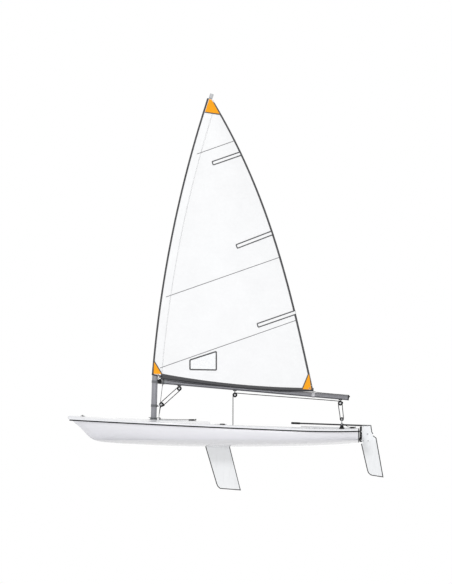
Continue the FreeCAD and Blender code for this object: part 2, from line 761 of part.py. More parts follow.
def boom_rod(x0, x1, radius, off=0.0):
    """Round bar along the boom's axis between two places."""
    return rod(xz(on_boom(x0, off)), xz(on_boom(x1, off)), radius)


def hung_block(x, centre_z, radius=BLOCK_R):
    """Block that hangs from a strap under the boom."""
    top = on_boom(x, BOOM_R - 1)[1]
    return fused([
        sheave_block(x, 0, centre_z, radius),
        box(x - 7, x + 7, -3, 3, centre_z, top - 2),
        box(x - 26, x + 26, -12, 12, top - 8, top),
    ])


def build_mast():
    """Lower and upper mast, the joint between them and the plug at the tip."""
    lower = fused([
        rod(mast_point(MAST_FOOT_Z), STRAIGHT_END, LOWER_MAST_R),
        bent_bar(BEND_CENTRE, BEND_RADIUS, MAST_RAKE, LEAN_1, LOWER_MAST_R),
        bent_bar(LUFF_CENTRE, LUFF_RADIUS, LEAN_1, LEAN_2, LOWER_MAST_R),
    ])
    upper = bent_bar(LUFF_CENTRE, LUFF_RADIUS, LEAN_2, LEAN_3, UPPER_MAST_R)
    plug = bent_bar(LUFF_CENTRE, LUFF_RADIUS, LEAN_3, LEAN_3 + 0.09, UPPER_MAST_R + 1.5)
    return lower, upper, plug


def sail_section(share, depth, sag):
    """Wire of one strip across the sail, from the spar's centreline to the leech."""
    front = xz(luff_point(share, 0))
    aft = xz(leech_point(share))
    normal = Vector(0, depth, -sag).normalize() * SAIL_THICKNESS
    middle = (front + aft) * 0.5 + Vector(0, depth, -sag)
    return ring([
        [front, middle, aft],
        [aft, aft + normal],
        [aft + normal, middle + normal, front + normal],
        [front + normal, front],
    ])


def build_sail(spars):
    """Sleeve round the mast and the sail behind it."""
    sleeve = bent_bar(LUFF_CENTRE, LUFF_RADIUS, LEAN_1, SAIL_HIGH_LEAN, SLEEVE_R)
    below = bent_bar(LUFF_CENTRE, LUFF_RADIUS, LEAN_1 - 1, LEAN_1, SLEEVE_R)
    cloth = Part.makeLoft([sail_section(*row) for row in SAIL_SECTIONS], True, False, False, 3)
    cloth = cloth.cut(sleeve).cut(below)
    bits = sorted(cloth.Solids, key=lambda solid: solid.Volume)
    return sleeve.cut(spars), bits[-1]


def build_vang():
    """Bracket on the mast, and the vang's mast and boom blocks."""
    x, z = VANG_MAST_BLOCK
    ear_x = x + VANG_SHACKLE
    bracket = fused([
        rod(mast_point(z - 34), mast_point(z + 2), LOWER_MAST_R + 4),
        box(ear_x, mast_point(z).x, -5, 5, z - 30, z - 10),
    ]).cut(rod(mast_point(z - 60), mast_point(z + 60), LOWER_MAST_R))
    mast_block = fused([
        sheave_block(x, 0, z),
        rod(xz((x, z)), xz((ear_x, z - 20)), 4),
    ]).cut(bracket)
    x, z = VANG_BOOM_BLOCK
    return bracket, mast_block, hung_block(x, z)


def build_boom():
    """Boom tube with its end fittings, gooseneck and the clew's slide."""
    front, aft = BOOM_FRONT[0], BOOM_AFT[0]
    boom = boom_rod(front - 8, aft + 18, BOOM_R)
    front_cap = boom_rod(front, front - 8, BOOM_R + 2).fuse(boom_rod(front - 8, front - 60, BOOM_R + 2))
    front_cap = front_cap.cut(boom)
    aft_cap = boom_rod(aft + 18, aft, BOOM_R + 1.5)
    mast_x = mast_point(GOOSENECK_Z).x
    band = fused([
        rod(mast_point(GOOSENECK_Z - 22), mast_point(GOOSENECK_Z + 14), LOWER_MAST_R + 4),
        box(front + 2, mast_x - LOWER_MAST_R, -9, 9, GOOSENECK_Z - 12, GOOSENECK_Z + 12),
    ])
    pin_x = front + 24
    pin = rod(Vector(pin_x, 0, GOOSENECK_Z - 20), Vector(pin_x, 0, GOOSENECK_Z + 20), 7)
    band = fused([band, pin])
    lower = rod(mast_point(700), mast_point(MAST_BEND_Z), LOWER_MAST_R)
    bent = bent_bar(BEND_CENTRE, BEND_RADIUS, MAST_RAKE, LEAN_1, LOWER_MAST_R)
    band = band.cut(lower).cut(bent)
    x = CLEW[0] - 12
    clew_slide = boom_rod(x - 22, x + 22, BOOM_R + 4).cut(boom)
    clew_slide = clew_slide.fuse(rod(xz((x, on_boom(x)[1] + BOOM_R + 2)), xz((x, CLEW[1] - 6)), 5))
    return boom, front_cap, aft_cap, band, clew_slide


def main_rig():
    """Build and save the rig body."""
    lower, upper, plug = build_mast()
    sleeve, cloth = build_sail(lower.fuse(upper))
    bracket, mast_block, boom_block = build_vang()
    boom, front_cap, aft_cap, band, clew_slide = build_boom()
    for name, shape in (
        ("lower_mast", lower),
        ("upper_mast", upper),
        ("mast_top_plug", plug),
        ("luff_sleeve", sleeve),
        ("sail", cloth),
        ("gooseneck", band),
        ("boom", boom),
        ("boom_front_cap", front_cap),
        ("boom_aft_cap", aft_cap),
        ("clew_slide", clew_slide),
        ("vang_bracket", bracket),
        ("vang_mast_block", mast_block),
        ("vang_boom_block", boom_block.cut(boom)),
        ("mid_boom_block", hung_block(*MID_BOOM_BLOCK).cut(boom)),
        ("aft_boom_block", hung_block(*AFT_BOOM_BLOCK).cut(boom)),
    ):
        save(name, shape)


# ---------------------------------------------------------------- foils
def foil_section(leading, trailing, half_thickness):
    """Closed wire of a foil between two points (x, z): round nose, flat middle and thin trailing edge."""
    chord = xz(trailing) - xz(leading)

    def at(share, y):
        return xz(leading) + chord * share + Vector(0, y, 0)

    t = half_thickness
    thin = FOIL_EDGE
    return ring([
        [at(0, 0), at(0.035, 0.62 * t), at(0.15, t)],
        [at(0.15, t), at(0.60, t)],
        [at(0.60, t), at(0.82, 0.70 * t), at(1, thin)],
        [at(1, thin), at(1, -thin)],
        [at(1, -thin), at(0.82, -0.70 * t), at(0.60, -t)],
        [at(0.60, -t), at(0.15, -t)],
        [at(0.15, -t), at(0.035, -0.62 * t), at(0, 0)],
    ])


def main_daggerboard():
    """Build and save the daggerboard body."""
    wires = []
    for z in (BOARD_TOP_Z, BOARD_FORE_AT_HULL[1]):
        leading = on_board_line(BOARD_FORE_AT_HULL, z)
        wires.append(foil_section(leading, on_board_line(BOARD_AFT_AT_HULL, z), BOARD_HALF_THICKNESS))
    upper = Part.makeLoft(wires, True, True)
    wires = []
    for leading, half_thickness in [(BOARD_FORE_AT_HULL, BOARD_HALF_THICKNESS)] + BOARD_TIP:
        wires.append(foil_section(leading, on_board_line(BOARD_AFT_AT_HULL, leading[1]), half_thickness))
    leading, trailing, half_thickness = BOARD_END
    wires.append(foil_section(leading, trailing, half_thickness))
    board = upper.fuse(Part.makeLoft(wires, True, True)).removeSplitter()
    cap_top = BRIDGE_DECK_Z + TRUNK_CAP
    front = on_board_line(BOARD_FORE_AT_HULL, cap_top)[0]
    handle = fused([
        rounded_prism(front - 4, front - 106, 32, 12, cap_top + 0.5, cap_top + 22),
        rounded_prism(front - 12, front - 98, 15, 12, cap_top + 20, HANDLE_TOP_Z),
    ]).cut(board)
    save("daggerboard", board)
    save("daggerboard_handle", handle)


def pintle_bar():
    """Tall bar on the rudder head's front edge, with a knuckle and pin above and below each gudgeon."""
    half = BAR_HALF_WIDTH
    spine = box(HEAD_FRONT_X, HEAD_FRONT_X + BAR_SPINE, -half, half, HEAD_LOW_Z, BAR_TOP_Z)
    pieces = [spine]
    low = HEAD_LOW_Z
    for _, z in reversed(GUDGEONS):
        high = z - GUDGEON_HALF_HEIGHT - 0.5
        pieces.append(box(HEAD_FRONT_X, BAR_FRONT_X, -half, half, low, high))
        low = z + GUDGEON_HALF_HEIGHT + 0.5
        pieces.append(Part.makeCylinder(PINTLE_R, low - high + 2, Vector(PINTLE_X, 0, high - 1)))
    pieces.append(box(HEAD_FRONT_X, BAR_FRONT_X, -half, half, low, BAR_TOP_Z))
    return fused(pieces)


def main_rudder():
    """Build and save the rudder body and the lifting blade."""
    bolt = xz(BLADE_BOLT)
    side = Vector(0, 1, 0)
    outline = [
        (HEAD_FRONT_X, HEAD_LOW_Z), (HEAD_FRONT_X, HEAD_TOP_Z), (-2085, HEAD_TOP_Z), (-2098, 115),
        (-2114, 94), (-2104, 10), (-2060, HEAD_LOW_Z),
    ]
    middle_y = (CHEEK_INNER_Y + CHEEK_OUTER_Y) / 2
    half = (CHEEK_OUTER_Y - CHEEK_INNER_Y) / 2
    bolt_hole = Part.makeCylinder(BLADE_BOLT_R, 60, bolt - side * 30, side)
    tube = rod(xz(TILLER_TIP), xz(TILLER_END), TILLER_R)
    head = fused([
        plate(outline, half, middle_y),
        plate(outline, half, -middle_y),
        box(HEAD_FRONT_X - 8, HEAD_FRONT_X, -CHEEK_OUTER_Y, CHEEK_OUTER_Y, HEAD_LOW_Z, HEAD_TOP_Z),
        box(-2052, HEAD_FRONT_X, -CHEEK_OUTER_Y, CHEEK_OUTER_Y, 190, HEAD_TOP_Z),
    ]).cut(bolt_hole).cut(tube)
    bolt_body = fused([
        Part.makeCylinder(BLADE_BOLT_R, 2 * CHEEK_OUTER_Y + 8, bolt - side * (CHEEK_OUTER_Y + 4), side),
        Part.makeCylinder(11, 5, bolt + side * CHEEK_OUTER_Y, side),
        Part.makeCylinder(11, 5, bolt - side * (CHEEK_OUTER_Y + 5), side),
    ])
    hub = Part.makeCylinder(BLADE_HUB_R, 2 * BLADE_HALF_THICKNESS, bolt - side * BLADE_HALF_THICKNESS, side)
    x, z = BLADE_BOLT
    top = plate([
        (x - BLADE_HUB_R, z), (-2160, 29), BLADE_SECTIONS[0][1], BLADE_SECTIONS[0][0], (-1966, -40),
        (x + BLADE_HUB_R, z),
    ], BLADE_HALF_THICKNESS)
    long_edges = [edge for edge in top.Edges if edge.Length > 55 and edge.BoundBox.ZLength > 40]
    top = top.makeChamfer(5, long_edges)
    foil = Part.makeLoft([foil_section(*row) for row in BLADE_SECTIONS], True, True)
    blade = top.fuse(hub).fuse(foil).removeSplitter()
    hole = Part.makeCylinder(BLADE_BOLT_R + RUNNING_CLEARANCE, 60, bolt - side * 30, side)
    blade = blade.cut(hole)
    save("rudder_head", head)
    save("pintle_bar", pintle_bar())
    grip_axis = (xz(TILLER_END) - xz(TILLER_TIP)).normalize()
    grip = rod(xz(TILLER_TIP), xz(TILLER_TIP) + grip_axis * GRIP_LENGTH, GRIP_R).cut(tube)
    save("tiller", tube)
    save("tiller_grip", grip)
    save("blade_bolt", bolt_body)
    save("rudder_blade", blade)


if __name__ == "__main__":
    main_hull()
    main_rig()
    main_daggerboard()
    main_rudder()
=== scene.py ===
"""Looks of a one-person sailing dinghy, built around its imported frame.

Lengths are in metres: +X forward, +Y to port, +Z up, with the waterline at z = 0.
"""

import json
import logging
import math
import operator
from collections.abc import Callable, Iterable, Sequence
from dataclasses import dataclass, field
from enum import Enum
from functools import partial, partialmethod, reduce
from itertools import accumulate

import bmesh
import bpy
from mathutils import Matrix, Vector

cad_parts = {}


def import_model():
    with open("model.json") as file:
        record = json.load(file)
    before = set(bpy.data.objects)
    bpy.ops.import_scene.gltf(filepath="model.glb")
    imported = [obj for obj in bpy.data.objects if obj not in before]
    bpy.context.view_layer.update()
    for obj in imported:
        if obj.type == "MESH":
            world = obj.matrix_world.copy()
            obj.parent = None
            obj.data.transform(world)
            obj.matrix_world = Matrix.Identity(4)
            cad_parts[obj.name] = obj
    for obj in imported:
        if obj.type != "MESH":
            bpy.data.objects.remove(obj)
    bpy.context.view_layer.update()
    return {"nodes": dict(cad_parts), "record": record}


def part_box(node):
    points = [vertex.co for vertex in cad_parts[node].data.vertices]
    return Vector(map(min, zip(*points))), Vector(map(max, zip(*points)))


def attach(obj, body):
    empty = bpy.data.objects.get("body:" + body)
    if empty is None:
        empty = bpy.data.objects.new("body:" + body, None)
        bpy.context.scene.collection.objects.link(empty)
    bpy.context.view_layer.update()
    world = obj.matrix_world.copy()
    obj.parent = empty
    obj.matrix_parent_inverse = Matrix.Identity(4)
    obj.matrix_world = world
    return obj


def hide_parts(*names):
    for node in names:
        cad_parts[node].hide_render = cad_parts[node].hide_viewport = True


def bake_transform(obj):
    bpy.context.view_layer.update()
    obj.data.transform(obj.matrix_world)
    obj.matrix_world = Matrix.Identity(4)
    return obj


LOG = logging.getLogger("dinghy")
Piece = bpy.types.Object
Face = bmesh.types.BMFace
Spot = tuple[float, float]
Spots = tuple[Spot, ...]
Ray = tuple[Vector, Vector]
Point = Sequence[float]
Triple = tuple[float, float, float]
Colour = Triple
Place = Callable[[float, float], Vector]
ACROSS, UP, DOWN = (0, 1, 0), (0, 0, 1), (0, 0, -1)
FULL_TURN = 2 * math.pi
FITTING_BLACK = (0.07, 0.07, 0.075)
CLOTH_WHITE = (0.93, 0.931, 0.932)


# ---- shader helpers
def linear(colour: Sequence[float]) -> tuple[float, float, float, float]:
    """Linear RGBA of a colour written as sRGB shares.

    Args:
        colour: Red, green and blue from 0 to 1 as they show on a screen.

    Returns:
        The same colour for a shader socket.
    """
    parts = [c / 12.92 if c <= 0.04045 else ((c + 0.055) / 1.055) ** 2.4 for c in colour]
    return (parts[0], parts[1], parts[2], 1.0)


class Sock:
    """A shader socket that turns Python arithmetic into Math nodes."""

    def __init__(self, graph: "Graph", socket: bpy.types.NodeSocket) -> None:
        """Keep the socket and the graph that it belongs to."""
        self.graph = graph
        self.socket = socket

    def operate(self, operation: str, other: "Sock | float | None" = None, swap: bool = False) -> "Sock":
        """Add one Math node.

        Args:
            operation: The node's operation.
            other: The second value, if the operation takes one.
            swap: Whether the other value goes first.

        Returns:
            The node's result.
        """
        pair = (other, self) if swap else (self, other)
        inputs = {0: pair[0]} if other is None else {0: pair[0], 1: pair[1]}
        return self.graph.node("ShaderNodeMath", {"operation": operation}, inputs)

    __add__ = __radd__ = partialmethod(operate, "ADD")
    __sub__ = partialmethod(operate, "SUBTRACT")
    __rsub__ = partialmethod(operate, "SUBTRACT", swap=True)
    __mul__ = __rmul__ = partialmethod(operate, "MULTIPLY")
    __or__ = partialmethod(operate, "MAXIMUM")
    size = partialmethod(operate, "ABSOLUTE")
    sine = partialmethod(operate, "SINE")

    def rise(self, low: float, high: float) -> "Sock":
        """Smooth step from 0 at low to 1 at high.

        Args:
            low: Value that gives 0.
            high: Value that gives 1.

        Returns:
            The step.
        """
        inputs = {"Value": self, "From Min": low, "From Max": high}
        return self.graph.node("ShaderNodeMapRange", {"interpolation_type": "SMOOTHSTEP"}, inputs)

    def past(self, at: float, soft: float = 0.0004) -> "Sock":
        """Sharp step from 0 to 1 at a value."""
        return self.rise(at - soft, at + soft)

    def within(self, half: float, soft: float) -> "Sock":
        """1 where the value's size is under a half width, and 0 past its soft edge."""
        return 1 - self.size().rise(half, half + soft)


class Graph:
    """Node tree of one material, or of the world."""

    def __init__(self, owner: bpy.types.Material | bpy.types.World) -> None:
        """Turn the owner's nodes on and find its shader and its output.

        Args:
            owner: Material or world that the tree belongs to.
        """
        self.owner = owner
        owner.use_nodes = True
        self.tree = owner.node_tree
        self.shader = self.tree.nodes.get("Principled BSDF") or self.tree.nodes.get("Background")
        self.output = next(node for node in self.tree.nodes if node.type.startswith("OUTPUT"))

    def feed(self, socket: bpy.types.NodeSocket, value: "Sock | float | Sequence[float]") -> None:
        """Link a socket to another one, or write its value.

        Args:
            socket: The socket.
            value: What goes into it.
        """
        if isinstance(value, Sock):
            self.tree.links.new(value.socket, socket)
        else:
            socket.default_value = value

    def node(
        self,
        kind: str,
        settings: dict[str, object] | None = None,
        inputs: dict[str | int, object] | None = None,
        output: str | int = 0,
    ) -> Sock:
        """Add one node.

        Args:
            kind: Its type.
            settings: Its properties, set before its sockets; "stops" fills a colour ramp.
            inputs: Values or links of its sockets, by name or number.
            output: The socket that is returned, by name or number.

        Returns:
            One output of the node.
        """
        made = self.tree.nodes.new(kind)
        for key, value in (settings or {}).items():
            if key == "stops":
                while len(made.color_ramp.elements) < len(value):
                    made.color_ramp.elements.new(1.0)
                for element, (at, colour) in zip(made.color_ramp.elements, value):
                    element.position = at
                    element.color = colour
            else:
                setattr(made, key, value)
        for key, value in (inputs or {}).items():
            self.feed(made.inputs[key], value)
        return Sock(self, made.outputs[output])

    def split(self, vector: Sock) -> tuple[Sock, Sock, Sock]:
        """The three parts of a vector."""
        first = self.node("ShaderNodeSeparateXYZ", None, {0: vector})
        return first, *(Sock(self, first.socket.node.outputs[part]) for part in (1, 2))

    def place(self) -> Sock:
        """Object coordinates, which are the frame's metres."""
        return self.node("ShaderNodeTexCoord", output="Object")

    def uv(self) -> Sock:
        """The piece's own UV map, in metres of flat material."""
        return self.node("ShaderNodeTexCoord", output="UV")

    def noise(
        self, scale: float, detail: float = 2.0, stretch: Point = (1, 1, 1), vector: Sock | None = None
    ) -> Sock:
        """Noise from 0 to 1.

        Args:
            scale: Features for each metre.
            detail: Octaves.
            stretch: Factors of the scale along each axis.
            vector: Coordinates; the object's if left out.

        Returns:
            The noise's factor.
        """
        source = self.place() if vector is None else vector
        mapped = self.node("ShaderNodeMapping", None, {"Vector": source, "Scale": tuple(stretch)})
        return self.node("ShaderNodeTexNoise", None, {"Vector": mapped, "Scale": scale, "Detail": detail}, "Fac")

    def mix(self, share: Sock, first: "Sock | Sequence[float]", second: "Sock | Sequence[float]") -> Sock:
        """Colour between two colours.

        Args:
            share: 0 gives the first colour and 1 the second.
            first: First colour, as a link or linear RGBA.
            second: Second colour.

        Returns:
            The mixed colour.
        """
        return self.node("ShaderNodeMix", {"data_type": "RGBA"}, {0: share, 6: first, 7: second}, 2)

    def tones(self, share: Sock, colour: Sequence[float], spread: float) -> Sock:
        """A colour that varies a little lighter and, by more, darker."""
        dark, light = ([min(1.0, c * factor) for c in colour] for factor in (1 - spread, 1 + spread * 0.6))
        return self.mix(share, linear(dark), linear(light))

    def set(self, **values: "Sock | float | Sequence[float]") -> None:
        """Write or link sockets of the shader, with underscores for spaces."""
        for key, value in values.items():
            self.feed(self.shader.inputs[key.replace("_", " ")], value)

    def bump(self, height: Sock, depth: float, strength: float = 1.0) -> None:
        """Relief on the surface.

        Args:
            height: Height from 0 to 1.
            depth: What 1 stands for, in metres.
            strength: Share of the relief that shows.
        """
        inputs = {"Height": height, "Distance": depth, "Strength": strength}
        self.feed(self.shader.inputs["Normal"], self.node("ShaderNodeBump", None, inputs, "Normal"))


# ---- finishes
@dataclass(frozen=True)
class Finish:
    """A surface: its colour as it shows, how rough it is, and the pattern that a subclass adds."""

    name: str
    slot: str
    colour: Colour
    roughness: float
    metallic: float = 0.0
    shine: float = field(default=0.5, kw_only=True)

    def tone(self, graph: Graph, mottle: Sock) -> Sock:
        """Base colour under a faint mottling."""
        return graph.tones(mottle, self.colour, 0.12)

    def dress(self, graph: Graph) -> None:
        """Moulded plastic: faint mottling and a fine grain.

        Args:
            graph: The material's node tree.
        """
        mottle = graph.noise(9.0, 3.0)
        graph.set(Base_Color=self.tone(graph, mottle), Roughness=self.roughness + 0.12 * (mottle - 0.5))
        graph.bump(graph.noise(900.0, 1.0), 0.00025, 0.5)

    def material(self) -> bpy.types.Material:
        """The finish as a material, made once.

        Returns:
            The material.
        """
        if self.name in bpy.data.materials:
            return bpy.data.materials[self.name]
        graph = Graph(bpy.data.materials.new(self.name))
        graph.set(Metallic=self.metallic, Specular_IOR_Level=self.shine)
        self.dress(graph)
        return graph.owner


@dataclass(frozen=True)
class Gelcoat(Finish):
    """Glossy moulding that turns dark at the transom's corner."""

    band_x: float = -1.896
    band_colour: Colour = FITTING_BLACK


@dataclass(frozen=True)
class HullGelcoat(Gelcoat):
    """Glossy pale shell, dark where it faces aft at the transom."""

    wear_colour: Colour = (0.84, 0.85, 0.85)

    def dress(self, graph: Graph) -> None:
        """Polished shell, duller low down where the water wears it.

        Args:
            graph: The material's node tree.
        """
        x, _, z = graph.split(graph.place())
        facing_x = graph.split(graph.node("ShaderNodeNewGeometry", output="Normal"))[0]
        band = (1 - x.past(self.band_x)) * facing_x.rise(-0.55, -0.45)
        wear = (1 - z.rise(-0.03, 0.05)) * graph.noise(14.0, 5.0, (0.35, 1, 2.5))
        shell = graph.mix(wear * 0.35, graph.tones(graph.noise(2.2), self.colour, 0.014), linear(self.wear_colour))
        graph.set(Base_Color=graph.mix(band, shell, linear(self.band_colour)), Coat_Roughness=0.08, IOR=1.5)
        graph.set(Roughness=self.roughness + 0.25 * wear + 0.2 * band, Coat_Weight=0.5 - 0.4 * band)
        graph.bump(graph.noise(60.0, 1.0), 0.00012, 0.25)


@dataclass(frozen=True)
class MastBand(Finish):
    """Moulded band whose front part, round the mast, is paler than its fitting behind."""

    split_x: float = 0.99
    front_colour: Colour = (0.44, 0.445, 0.455)

    def tone(self, graph: Graph, mottle: Sock) -> Sock:
        """Two tones that meet at one place, both faintly mottled."""
        front = graph.split(graph.place())[0].past(self.split_x)
        return graph.mix(front, super().tone(graph, mottle), graph.tones(mottle, self.front_colour, 0.12))


@dataclass(frozen=True)
class DeckGelcoat(Gelcoat):
    """Glossy moulding with raised non-slip panels on what faces up, and a dark band at the transom.

    Each panel, on both sides of the boat, is its middle (x, y) and its half lengths along x and y.
    """

    panels: tuple[tuple[float, float, float, float], ...] = (
        (-0.46, 0.455, 0.66, 0.085), (-1.47, 0.235, 0.31, 0.125), (0.80, 0.145, 0.20, 0.11), (-0.64, 0.0, 0.30, 0.20),
    )
    panel_edge: float = 0.004
    pitch: float = 0.0085
    grip_colours: tuple[Colour, Colour] = ((0.865, 0.875, 0.89), (0.80, 0.81, 0.82))

    def dress(self, graph: Graph) -> None:
        """Gloss on the edges, non-slip on the flats.

        Args:
            graph: The material's node tree.
        """
        x, y, _ = graph.split(graph.place())
        side, edge = y.size(), self.panel_edge
        inside = [(x - at[0]).within(at[2], edge) * (side - at[1]).within(at[3], edge) for at in self.panels]
        up = graph.split(graph.node("ShaderNodeNewGeometry", output="Normal"))[2].rise(0.90, 0.94)
        grip = reduce(operator.or_, inside) * up
        turn = FULL_TURN / self.pitch
        diamonds = ((x + y) * turn).sine() * ((x - y) * turn).sine()
        flats = graph.mix(graph.noise(7.0, 5.0) * grip, *(linear(colour) for colour in self.grip_colours))
        moulding = graph.mix(grip * 0.85, graph.tones(graph.noise(2.6, 3.0), self.colour, 0.014), flats)
        band = 1 - x.past(self.band_x)
        graph.set(Base_Color=graph.mix(band, moulding, linear(self.band_colour)), Coat_Roughness=0.1, IOR=1.5)
        graph.set(Roughness=self.roughness + 0.33 * grip, Coat_Weight=0.45 - 0.4 * grip)
        graph.bump(diamonds.rise(-0.1, 0.5) * grip, 0.0009, 0.8)


@dataclass(frozen=True)
class FoilCoat(Finish):
    """Satin foil with thin dark edges along its outline (x, z) in the fore and aft plane.

    The outline is dark on both sides of it, by its width.
    """

    outline: Spots = ()
    width: float = 0.013
    edge_colour: Colour = (0.08, 0.08, 0.085)

    def dress(self, graph: Graph) -> None:
        """Fine long brush marks under a satin coat, with the edges painted dark.

        Args:
            graph: The material's node tree.
        """
        x, _, z = graph.split(graph.place())
        lines = []
        for (x0, z0), (x1, z1) in zip(self.outline, self.outline[1:]):
            length = math.hypot(x1 - x0, z1 - z0)
            nx, nz = (z1 - z0) / length, (x0 - x1) / length
            away = x * nx + z * nz - (x0 * nx + z0 * nz)
            along = (x * -nz + z * nx - (x0 * -nz + z0 * nx)) * (1 / length)
            lines.append(away.within(self.width, 0.0008) * (along - 0.5).within(0.51, 0.005))
        dark = reduce(operator.or_, lines)
        brush = graph.noise(30.0, 4.0, (1.0, 1.0, 0.08))
        coat = graph.mix(dark, graph.tones(brush, self.colour, 0.02), linear(self.edge_colour))
        rough = self.roughness + 0.1 * (brush - 0.5) + 0.1 * dark
        graph.set(Base_Color=coat, Roughness=rough, Coat_Weight=0.2, Coat_Roughness=0.2)
        graph.bump(brush, 0.00015, 0.3)


@dataclass(frozen=True)
class Cloth(Finish):
    """Woven cloth: two crossing thread directions on the piece's own map, with creases and stitches."""

    thread: float = 0.0011
    crease: float = 0.0016
    stitch_rows: tuple[float, ...] = ()
    stitch_colour: Colour = (0.30, 0.30, 0.31)
    stitch_pitch: float = 0.006
    stitch_swing: float = 0.0012
    stitch_half: float = 0.0005

    def dress(self, graph: Graph) -> None:
        """Weave, soft creases, and zigzag stitching along the map's first axis.

        Args:
            graph: The material's node tree.
        """
        flat = graph.uv()
        u, v, _ = graph.split(flat)
        turn = FULL_TURN / self.thread
        weave = ((u * turn).sine() * 0.25 + 0.5) + (v * turn).sine() * 0.25
        folds, crinkle = graph.noise(3.2, 4.0, vector=flat), graph.noise(22.0, 3.0, vector=flat)
        tone = graph.tones(folds * 0.6 + crinkle * 0.4, self.colour, 0.035)
        for row in self.stitch_rows:
            zigzag = v - row - self.stitch_swing * (u * (FULL_TURN / self.stitch_pitch)).sine()
            tone = graph.mix(zigzag.within(self.stitch_half, self.stitch_half), tone, linear(self.stitch_colour))
        graph.set(Base_Color=tone, Roughness=self.roughness + 0.1 * (crinkle - 0.5), Specular_IOR_Level=0.12)
        graph.bump(weave * 0.12 + crinkle * 0.38 + folds, self.crease, 0.55)


@dataclass(frozen=True)
class Braid(Finish):
    """Plaited rope: crossing strands round the piece's own map, with flecks of a paler tracer."""

    tracer: Colour = (0.45, 0.46, 0.48)
    plaits: float = 4.0
    pitch: float = 0.012

    def dress(self, graph: Graph) -> None:
        """Plait relief and a tracer yarn.

        Args:
            graph: The material's node tree.
        """
        around, along, _ = graph.split(graph.uv())
        strand, run = around * (FULL_TURN * self.plaits), along * (FULL_TURN / self.pitch)
        plait = (strand + run).sine() * (strand - run).sine()
        fleck = (around * FULL_TURN + along * (FULL_TURN / (self.pitch * 4))).sine().rise(0.86, 0.95)
        yarn = graph.tones(graph.noise(300.0), self.colour, 0.25)
        colour = graph.mix(fleck * plait.rise(0.1, 0.4), yarn, linear(self.tracer))
        graph.set(Base_Color=colour, Roughness=self.roughness)
        graph.bump(plait, 0.0006, 0.8)


@dataclass(frozen=True)
class Metal(Finish):
    """Brushed or anodised metal with its grain along one axis."""

    grain: Triple = (1.0, 1.0, 0.03)

    def dress(self, graph: Graph) -> None:
        """Long grain, a few handling marks and duller patches.

        Args:
            graph: The material's node tree.
        """
        grain = graph.noise(160.0, 3.0, self.grain)
        patches = graph.noise(5.0, 3.0)
        graph.set(Base_Color=graph.tones(patches * 0.6 + grain * 0.4, self.colour, 0.09))
        graph.set(Roughness=self.roughness + 0.14 * (grain - 0.5) + 0.1 * (patches - 0.5))
        graph.bump(grain, 0.0001, 0.3)


@dataclass(frozen=True)
class Film(Finish):
    """Clear flexible window film with a faint blue cast."""

    def dress(self, graph: Graph) -> None:
        """Mostly see-through, with soft ripples and a haze that varies.

        Args:
            graph: The material's node tree.
        """
        haze = graph.noise(12.0, 3.0, vector=graph.uv())
        graph.set(Base_Color=graph.tones(haze, self.colour, 0.04), Alpha=0.32 + 0.14 * haze, Roughness=self.roughness)
        graph.bump(haze, 0.0012, 0.5)


HULL = HullGelcoat("hull_shell_gelcoat", "hull_gelcoat", (0.90, 0.897, 0.91), 0.16)
DECK = DeckGelcoat("deck_moulding_gelcoat", "deck_gelcoat", (0.905, 0.907, 0.918), 0.2)
BLACK = Finish("black_fitting_plastic", "black_fittings", FITTING_BLACK, 0.42, shine=0.2)
TRIM = Finish("black_trim_rubber", "black_trim", (0.045, 0.045, 0.048), 0.6, shine=0.12)
GREY = Finish("grey_bearing_plastic", "grey_plastic", (0.48, 0.49, 0.50), 0.45)
PALE = Finish("pale_hub_plastic", "pale_plastic", (0.90, 0.905, 0.91), 0.4)
HEAD_CAP = Finish("mast_head_plastic", "pale_plastic", (0.74, 0.745, 0.75), 0.45)
RUBBER = Finish("grip_ribbed_rubber", "grip_rubber", (0.05, 0.05, 0.052), 0.7)
SPAR = Metal("mast_anodised_tube", "spar_aluminium", (0.60, 0.60, 0.62), 0.38, 0.85)
BOOM_SPAR = Metal("boom_anodised_tube", "spar_aluminium", (0.47, 0.47, 0.485), 0.38, 0.85, (0.03, 1.0, 1.0))
TILLER_TUBE = Metal("tiller_dark_tube", "dark_aluminium", (0.17, 0.17, 0.18), 0.36, 0.5, (0.03, 1.0, 1.0))
GOOSENECK = MastBand("gooseneck_two_tone", "black_fittings", FITTING_BLACK, 0.42, shine=0.2)
VANG_BAND = MastBand("vang_band_two_tone", "black_fittings", FITTING_BLACK, 0.42, split_x=1.0, shine=0.2)
STEEL = Metal("stainless_brushed", "stainless", (0.70, 0.70, 0.71), 0.28, 1.0, (0.05, 1.0, 1.0))
HEAD_PAINT = FoilCoat(
    "rudder_head_white_paint", "rudder_alloy", (0.93, 0.935, 0.94), 0.3,
    outline=((-1.95, 0.216), (-2.085, 0.216), (-2.098, 0.115), (-2.114, 0.094)),
)
BOARD_COAT = FoilCoat(
    "daggerboard_white_coat", "foil_gelcoat", (0.94, 0.945, 0.95), 0.28,
    outline=(
        (0.387, 0.228), (0.305, -0.101), (0.147, -0.634), (0.129, -0.672), (0.094, -0.703), (-0.209, -0.727),
        (0.032, 0.228),
    ),
)
BLADE_COAT = FoilCoat(
    "rudder_blade_white_coat", "foil_gelcoat", (0.94, 0.945, 0.95), 0.28,
    outline=(
        (-1.932, -0.036), (-2.023, -0.432), (-2.037, -0.472), (-2.066, -0.504), (-2.095, -0.514), (-2.261, -0.540),
        (-2.242, -0.432), (-2.1755, -0.058), (-2.160, 0.029), (-2.104, 0.075),
    ),
)
WHITE_CLOTH = Cloth("sail_white_cloth", "sailcloth", CLOTH_WHITE, 0.55)
SLEEVE_CLOTH = Cloth(
    "sleeve_white_cloth", "sailcloth", CLOTH_WHITE, 0.55, stitch_rows=(0.010, 0.018, 0.366, 0.374)
)
ORANGE_CLOTH = Cloth("corner_orange_cloth", "orange_cloth", (0.955, 0.64, 0.12), 0.6, thread=0.0016)
